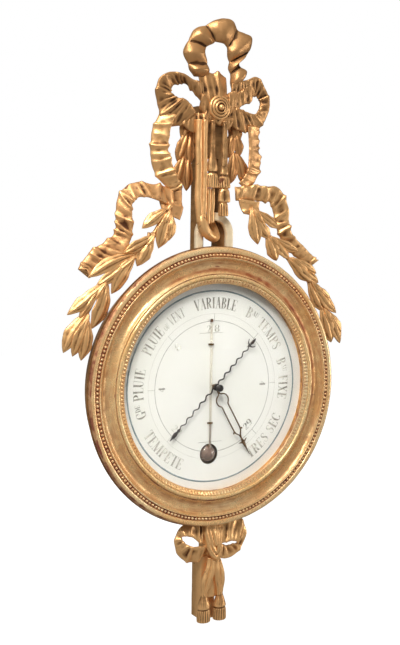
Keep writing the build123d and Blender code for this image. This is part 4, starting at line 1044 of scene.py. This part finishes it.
swag = Shape()
for n, points in enumerate([[(-11, 38, -229, 4.0), (-11, 42, -246, 4.4), (-7, 43.5, -264, 4.6),
        (0, 44.5, -279, 4.4), (7, 45, -284, 4.2), (12, 44, -274, 4.2), (14, 42, -256, 4.4),
        (18, 38, -236, 4.0)], [(-5, 39, -229, 3.6), (-5, 43.5, -248, 4.0), (-1, 45, -265, 4.2),
        (5, 46, -274, 3.8), (9, 45, -262, 3.8), (11, 42, -246, 3.8), (12, 39, -231, 3.4)],
        [(1, 40, -229, 3.4), (2, 45, -248, 4.0), (4, 46.5, -262, 3.6), (6, 45, -250, 3.4),
        (7, 41, -230, 3.2)], [(2, 35, -226, 9), (2, 37, -246, 9.5), (3, 38, -266, 8), (4, 38, -282, 6)]]):
    tube(swag, points, sides=24, grooves=5, depth=0.5, seed=60 + n, twist=0.05)
build("pendant_swag_carved", swag, CARVING, "gilt_carving", "case", "pendant_knot", rough=0.35, seed=46)

cords = Shape()
for n, points in enumerate([[(-1, 38, -286, 4.5), (-6, 39.5, -304, 4.4), (-12.5, 39, -322, 5.0),
        (-13.5, 38, -338, 4.2), (-13, 38, -350, 4.6)], [(3, 39, -286, 4.6), (1, 41, -304, 5.0),
        (-4, 40.5, -322, 5.2), (-9, 38.5, -340, 4.4), (-11, 38, -350, 4.4)],
        [(8, 39, -286, 4.8), (9, 41, -304, 6.0), (12, 40, -322, 5.4), (15, 38.5, -340, 4.2),
        (16, 38, -350, 4.4)], [(13, 37, -286, 4.6), (18, 38.5, -304, 5.2), (21.5, 38.5, -322, 5.0),
        (20, 38, -338, 4.4), (18, 38, -350, 4.6)], [(6, 34, -288, 8), (5, 34, -310, 11), (4, 34, -330, 12),
        (3, 33, -352, 12)]]):
    tube(cords, points, sides=26, flat=0.9 if n < 4 else 0.4, grooves=6, depth=0.5, seed=70 + n, twist=0.01)
carve("pendant_cords", cords, rough=0.45, seed=48)

tassels = Shape()
for n, x in enumerate((-12.5, 18.0)):
    spindle(tassels, x, 38, [(-344, 4.6), (-350, 6.0), (-357, 8.6), (-364, 10.6), (-368.6, 11.0),
        (-370.4, 9.6), (-372, 10.4), (-378, 11.2), (-386, 11.6), (-391, 11.2), (-392, 9.6)], flat=0.8,
        threads=[(-371, -393, 18, 0.7)], seed=80 + n)
carve("pendant_tassels", tassels, rough=0.35, seed=50)

def plain_place(p):
    """Leaves (x, z) points as they are."""
    return p[:, 0], p[:, 1]


def pilaster():
    """The board below the drum: full width, and a narrow neck above the shoulder."""
    low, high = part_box("pendant_pilaster")
    wide, foot, top = (high.x - low.x) / MM, (low.z - DIAL_Z) / MM, (high.z - DIAL_Z) / MM
    made = Shape()
    for middle, width, ends in ((0, wide, (-284, foot)), (6, 16, (top, -285))):
        rod(made, [(middle, z, width) for z in np.linspace(*ends, 60)], -high.y / MM, -low.y / MM,
            plain_place, bevel=1.6)
    build("pilaster_planed", made, CARVING, "gilt_carving", "case", "pendant_pilaster", rough=0.35, seed=52)


pilaster()

# ---- dial lettering ---------------------------------------------------------------------------
STEM, HAIR = 12.5, 3.2             # thick and thin strokes, on the letters' grid of 100 to their height


def curve(x, z, wide, high, start, stop, thick):
    """Part of an oval between two clock angles, thin above and below and thick at its sides."""
    turns = np.radians(np.linspace(start, stop, max(7, int(abs(stop - start) / 15))))
    return [(x + wide * math.sin(a), z + high * math.cos(a),
        HAIR * 1.1 + (thick - HAIR) * abs(math.sin(a)) ** 1.6) for a in turns]


def pen(*points):
    """One stroke through (x, z, width) points."""
    return [list(points)]


def serifs(*places, reach=11):
    """Short level strokes, centred on the places."""
    return [[(x - reach, z, HAIR), (x + reach, z, HAIR)] for x, z in places]


def upright(x):
    """A stem with a thin serif at each end."""
    return pen((x, 0, STEM), (x, 100, STEM)) + serifs((x, 1.6), (x, 98.4))


LETTER_STEM = upright(13)
FOOT_ARM = pen((13, 1.6, HAIR), (42, 1.6, HAIR)) + pen((41, 0, 4.5), (43.5, 25, 2))
HEAD_ARM = pen((13, 98.4, HAIR), (40, 98.4, HAIR)) + pen((39, 100, 4.5), (41, 78, 2))
MIDDLE_ARM = pen((13, 51, HAIR), (30, 51, HAIR)) + pen((30, 40, 3), (30, 62, 3))
BEAK = pen((42, 68, 3), (42, 96, 3))
# each letter's width and strokes
GLYPHS = {
    "I": (30, upright(14)),
    "L": (46, LETTER_STEM + FOOT_ARM),
    "E": (48, LETTER_STEM + FOOT_ARM + HEAD_ARM + MIDDLE_ARM),
    "F": (45, LETTER_STEM + HEAD_ARM + MIDDLE_ARM),
    "T": (50, pen((25, 0, STEM), (25, 100, STEM)) + serifs((25, 1.6))
          + pen((3, 98.4, HAIR), (47, 98.4, HAIR)) + pen((4, 100, 4.5), (1.5, 78, 2))
          + pen((46, 100, 4.5), (48.5, 78, 2))),
    "V": (50, pen((9, 100, STEM), (25, 0, STEM)) + pen((42, 100, HAIR), (27, 0, HAIR))
          + serifs((9, 98.4), (42, 98.4), reach=9)),
    "A": (52, pen((8, 0, HAIR), (25, 100, HAIR)) + pen((26, 100, STEM), (42, 0, STEM))
          + pen((14, 34, HAIR), (36, 34, HAIR)) + serifs((8, 1.6), (42, 1.6), reach=9)),
    "R": (53, LETTER_STEM + [curve(17, 75, 21, 23.5, 0, 180, STEM)]
          + pen((20, 51, 6), (31, 40, STEM), (36, 14, STEM), (47, 2, HAIR))),
    "P": (48, LETTER_STEM + [curve(17, 75, 22, 23.5, 0, 180, STEM)]),
    "B": (50, LETTER_STEM + [curve(17, 75.5, 18, 23, 0, 180, STEM),
                                 curve(17, 27, 22, 25.5, 0, 180, STEM)]),
    "U": (54, pen((12, 100, STEM), (12, 30, STEM), (15, 12, 9), (24, 2, 4.5),
                        (34, 6, 4), (40, 22, HAIR), (41, 40, HAIR), (41, 100, HAIR))
          + serifs((12, 98.4), (41, 98.4))),
    "M": (68, pen((10, 0, HAIR), (10, 100, HAIR)) + pen((10, 100, STEM), (31, 2, STEM))
          + pen((32, 2, HAIR), (52, 100, HAIR)) + upright(55)
          + serifs((10, 1.6), (8, 98.4), reach=8)),
    "N": (56, pen((10, 0, HAIR), (10, 100, HAIR)) + pen((10, 100, STEM), (42, 0, STEM))
          + pen((43, 0, HAIR), (43, 100, HAIR)) + serifs((10, 1.6), (43, 98.4), reach=9)),
    "S": (44, pen((36, 76, HAIR), (34, 90, 4), (22, 98, 4.5), (11, 88, 9),
                        (10, 73, 10.5), (21, 56, STEM), (32, 41, STEM), (35, 24, 10.5),
                        (31, 9, 6), (20, 1.5, 4.5), (9, 9, 4), (6, 26, HAIR))),
    "X": (52, pen((10, 100, STEM), (41, 0, STEM)) + pen((41, 100, HAIR), (10, 0, HAIR))
          + serifs((10, 98.4), (41, 1.6), (41, 98.4), (10, 1.6), reach=8)),
    "C": (48, [curve(26, 50, 19, 48.5, 52, -232, STEM)] + BEAK),
    "G": (52, [curve(26, 50, 19, 48.5, 52, -215, STEM)] + BEAK
          + pen((41, 3, 10), (41, 40, 10)) + serifs((41, 40))),
    "D": (54, LETTER_STEM + [curve(17, 50, 27, 48.5, 0, 180, STEM)]),
    "O": (54, [curve(26, 50, 20, 48.5, 0, 360, STEM)]),
    " ": (26, []),
    "2": (48, pen((10, 74, 6), (13, 92, 5), (24, 98, 5), (35, 88, 10), (36, 70, 12),
                        (28, 48, 7), (14, 22, 4), (8, 6, HAIR))
          + pen((8, 5, 5), (40, 5, 10))),
    "4": (50, pen((30, 100, 4), (5, 30, HAIR)) + pen((5, 29, HAIR), (45, 29, HAIR))
          + pen((31, 100, STEM), (31, 0, STEM)) + serifs((31, 1.6))),
    "7": (44, pen((6, 95, 9), (40, 95, 9)) + pen((40, 96, 4), (25, 50, 9),
                                                                         (20, 0, 12))),
    "8": (46, [curve(23, 75.5, 14, 23, 0, 360, 10), curve(23, 27, 17, 26, 0, 360, STEM)]),
    "9": (46, [curve(22, 70, 16, 28.5, 0, 360, STEM)]
          + pen((38, 70, STEM), (36, 35, 10), (26, 6, 4.5), (12, 2, 4), (8, 14, 6)))}


def lettering(shape, runs, first, last, inner, height, tone):
    """Letters bent round the dial between two clock angles. runs are (text, size, lift). A falling angle
    writes them with their tops towards the dial's centre. inner is the radius of their inner edge."""
    total = sum(GLYPHS[letter][0] / 100 * size for text, size, _ in runs for letter in text)
    turn = 1 if last > first else -1
    foot = inner if turn > 0 else inner + height
    middle = inner + height / 2
    stretch = math.radians(abs(last - first)) * middle / total
    at = 0.0
    layer = 0
    for text, size, lift in runs:
        for letter in text:
            width, strokes = GLYPHS[letter]
            for stroke in strokes:
                path = np.array(stroke) / 100

                def place(p, at=at, size=size, lift=lift):
                    angle = math.radians(first) + turn * (at + p[:, 0] * size) * stretch / middle
                    radius = foot + turn * height * (lift + p[:, 1] * size)
                    return radius * np.sin(angle), radius * np.cos(angle)
                layer += 1
                rod(shape, path, INK_BACK, DIAL_FACE + 0.1 + 0.006 * (layer % 5), place, tone=tone)
            at += width / 100 * size


INK_BACK, INK_FRONT = DIAL_FACE - 0.05, DIAL_FACE + 0.09
BEAU = [("B", 1, 0), ("AU", 0.5, 0.45), (" ", 1, 0)]
words = Shape()
for runs, first, last, tone in (
        ([("VARIABLE", 1, 0)], -16, 18, 0.1), (BEAU + [("TEMPS", 1, 0)], 27, 65, 0.7),
        (BEAU + [("FIXE", 1, 0)], 72.5, 102, 0.45), ([("TRES SEC", 1, 0)], 150, 113, 0.45),
        ([("TEMPETE", 1, 0)], 241, 204, 0.4),
        ([("G", 1, 0), ("DE", 0.5, 0.45), (" ", 1, 0), ("PLUIE", 1, 0)], -109, -75, 0.0),
        ([("PLUIE", 1, 0), (" ", 0.6, 0)], -65, -43.5, 0.4),
        ([("OU", 0.55, 0), (" ", 0.7, 0), ("VENT", 0.9, 0)], -43.5, -24.5, 1.0)):
    lettering(words, runs, first, last, inner=128.0, height=18.0, tone=tone)
for clock, text, tone in ((-135, "27", 0.8), (-90, "4", 0.3), (-45, "8", 0.7), (-1.5, "2 8", 0.4),
        (45, "4", 0.6), (90, "4", 0.7), (135, "29", 0.2)):
    reach = 2.9 * len(text) * (0.85 if " " in text else 1) * (-1 if abs(clock) > 90 else 1)
    lettering(words, [(text, 1, 0)], clock - reach, clock + reach, inner=89.5, height=11.5, tone=tone)
build("dial_words", words, INK, "dial_paint", "case")


def ring(shape, radius, width, tone=0.0):
    """A painted circle on the dial."""
    inner, outer = radius - width / 2, radius + width / 2
    turned(shape, [(inner, INK_BACK), (inner, INK_FRONT), (outer, INK_FRONT), (outer, INK_BACK)], 360,
        tone=tone)


def along_clock(angle):
    """Carries (across, along) points to the dial at a clock angle."""
    turn = math.radians(angle)

    def place(p):
        return (p[:, 0] * math.cos(turn) + p[:, 1] * math.sin(turn),
            p[:, 1] * math.cos(turn) - p[:, 0] * math.sin(turn))
    return place


bold_ring = Shape()
ring(bold_ring, 156.6, 2.6)
build("dial_bold_ring", bold_ring, RING_INK, "dial_paint", "case")

fine_lines = Shape()
ring(fine_lines, 107.6, 0.75)
ring(fine_lines, 119.5, 0.3, tone=0.9)
for eighth in range(-3, 4):
    rod(fine_lines, [(0, 108.2, 0.6), (0, 120, 0.6)], INK_BACK, DIAL_FACE + 0.11, along_clock(45 * eighth),
        tone=0.3)
for z in (88, -91):
    rod(fine_lines, [(-27, z, 0.6), (17, z, 0.6)], INK_BACK, DIAL_FACE + 0.1, plain_place, tone=0.2)
build("dial_fine_lines", fine_lines, FINE_INK, "dial_paint", "case")

# ---- hands and knob ---------------------------------------------------------------------------
HAND_REST, SET_REST = 225, 150          # clock angles of the two hands at rest


def indicating_hand():
    """The wavy blued hand: an arrow on its long end, a crescent and a point on its short one."""
    low = -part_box("indicating_hand")[1].y / MM
    place = along_clock(HAND_REST)
    made = Shape()
    for way, length, start in ((1, 95, 2.5), (-1, 92, 2.6)):
        path = [(way * 1.9 * math.sin(math.pi * 11.5 * s), way * length * s, start - 1.1 * s)
                for s in np.linspace(0.02, 1, 150)]
        rod(made, path, low, low + 1.5, place, bevel=0.45)
    arrow = [(0, 92, 1.6), (0, 94.5, 5.5), (0, 97, 3.0), (0, 99, 4.0), (0, 103, 7.4), (0, 107, 6.6),
        (0, 112, 3.2), (0, 117, 0.5)]
    rod(made, arrow, low, low + 1.4, place, bevel=0.5)
    crescent = [(8.5 * math.sin(a), -92 - 8.5 * (1 - math.cos(a)) * 1.05, 0.8 + 1.6 * math.cos(a) ** 2)
                for a in np.linspace(-1.35, 1.35, 21)]
    rod(made, crescent, low, low + 1.3, place, bevel=0.4)
    rod(made, [(0, -90, 1.6), (0, -95, 2.2), (0, -99, 5.4), (0, -103, 4.6), (0, -108, 0.8)], low, low + 1.4,
        place, bevel=0.5)
    build("indicating_hand_forged", made, BLUED, "blued_steel", "hand", "indicating_hand")


def set_hand():
    """The pierced brass hand: two rails that open into a ring near the centre and close in an arrow."""
    low = -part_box("set_hand")[1].y / MM
    place = along_clock(SET_REST)
    made = Shape()
    for side in (-1, 1):
        bow = [(side * 11.2 * math.sin(a), 25.8 - 11.2 * math.cos(a), 2.1) for a in np.linspace(0.25, 2.5,
            14)]
        rail = [(0.8, 3, 2.4), (1, 13, 2.0)], [(6.3, 38, 1.9), (6.5, 46, 1.9), (6.5, 64, 1.9),
            (6.4, 84, 2.2), (5.2, 89, 2.2), (1.4, 94.5, 2.0), (0.5, 100, 1.8), (0.2, 108, 1.8)]
        start, rest = ([(side * x, z, width) for x, z, width in part] for part in rail)
        rod(made, start + bow + rest, low, low + 1.3, place, bevel=0.45)
        rod(made, [(side * 6.0, 85.5, 2.4), (side * 8.6, 86.5, 3.2), (side * 9.8, 87.5, 1.2)], low,
            low + 1.2, place, bevel=0.4)
        rod(made, [(0, 108.4, 4.5), (side * 3, 108.8, 3.0), (side * 8.6, 106.4, 0.6)], low, low + 1.25, place,
            bevel=0.4)
    rod(made, [(0, 98, 1.4), (0, 103, 2.6), (0, 108, 6.4), (0, 113, 4.6), (0, 120, 2.8), (0, 134, 0.5)], low,
        low + 1.4, place, bevel=0.5)
    turned(made, [(1.6, low), (5.6, low), (5.8, low + 0.6), (5.0, low + 1.5), (1.6, low + 1.5)], 60)
    build("set_hand_pierced", made, DARK_BRASS, "brass", "set_hand", "set_hand")


def set_knob():
    """The black knob in front of the glass, with a shoulder just clear of its bush."""
    low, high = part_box("set_knob")
    back, front = -high.y / MM, -low.y / MM
    shoulder = 0.1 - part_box("glass_bush")[0].y / MM
    made = Shape()
    knob(made, 0, 0, [(1.5, back), (1.5, shoulder), (3.2, shoulder), (3.9, shoulder + 0.7),
        (3.4, shoulder + 1.3), (3.3, front - 10.6), (4.6, front - 9.4), (5.6, front - 6.6),
        (5.9, front - 4.6), (5.5, front - 2.6), (4.2, front - 1.0), (2.2, front - 0.1), (0.2, front)],
        count=64)
    build("set_knob_turned", made, KNOB, "black_knob", "set_hand", "set_knob")


indicating_hand()
set_hand()
set_knob()
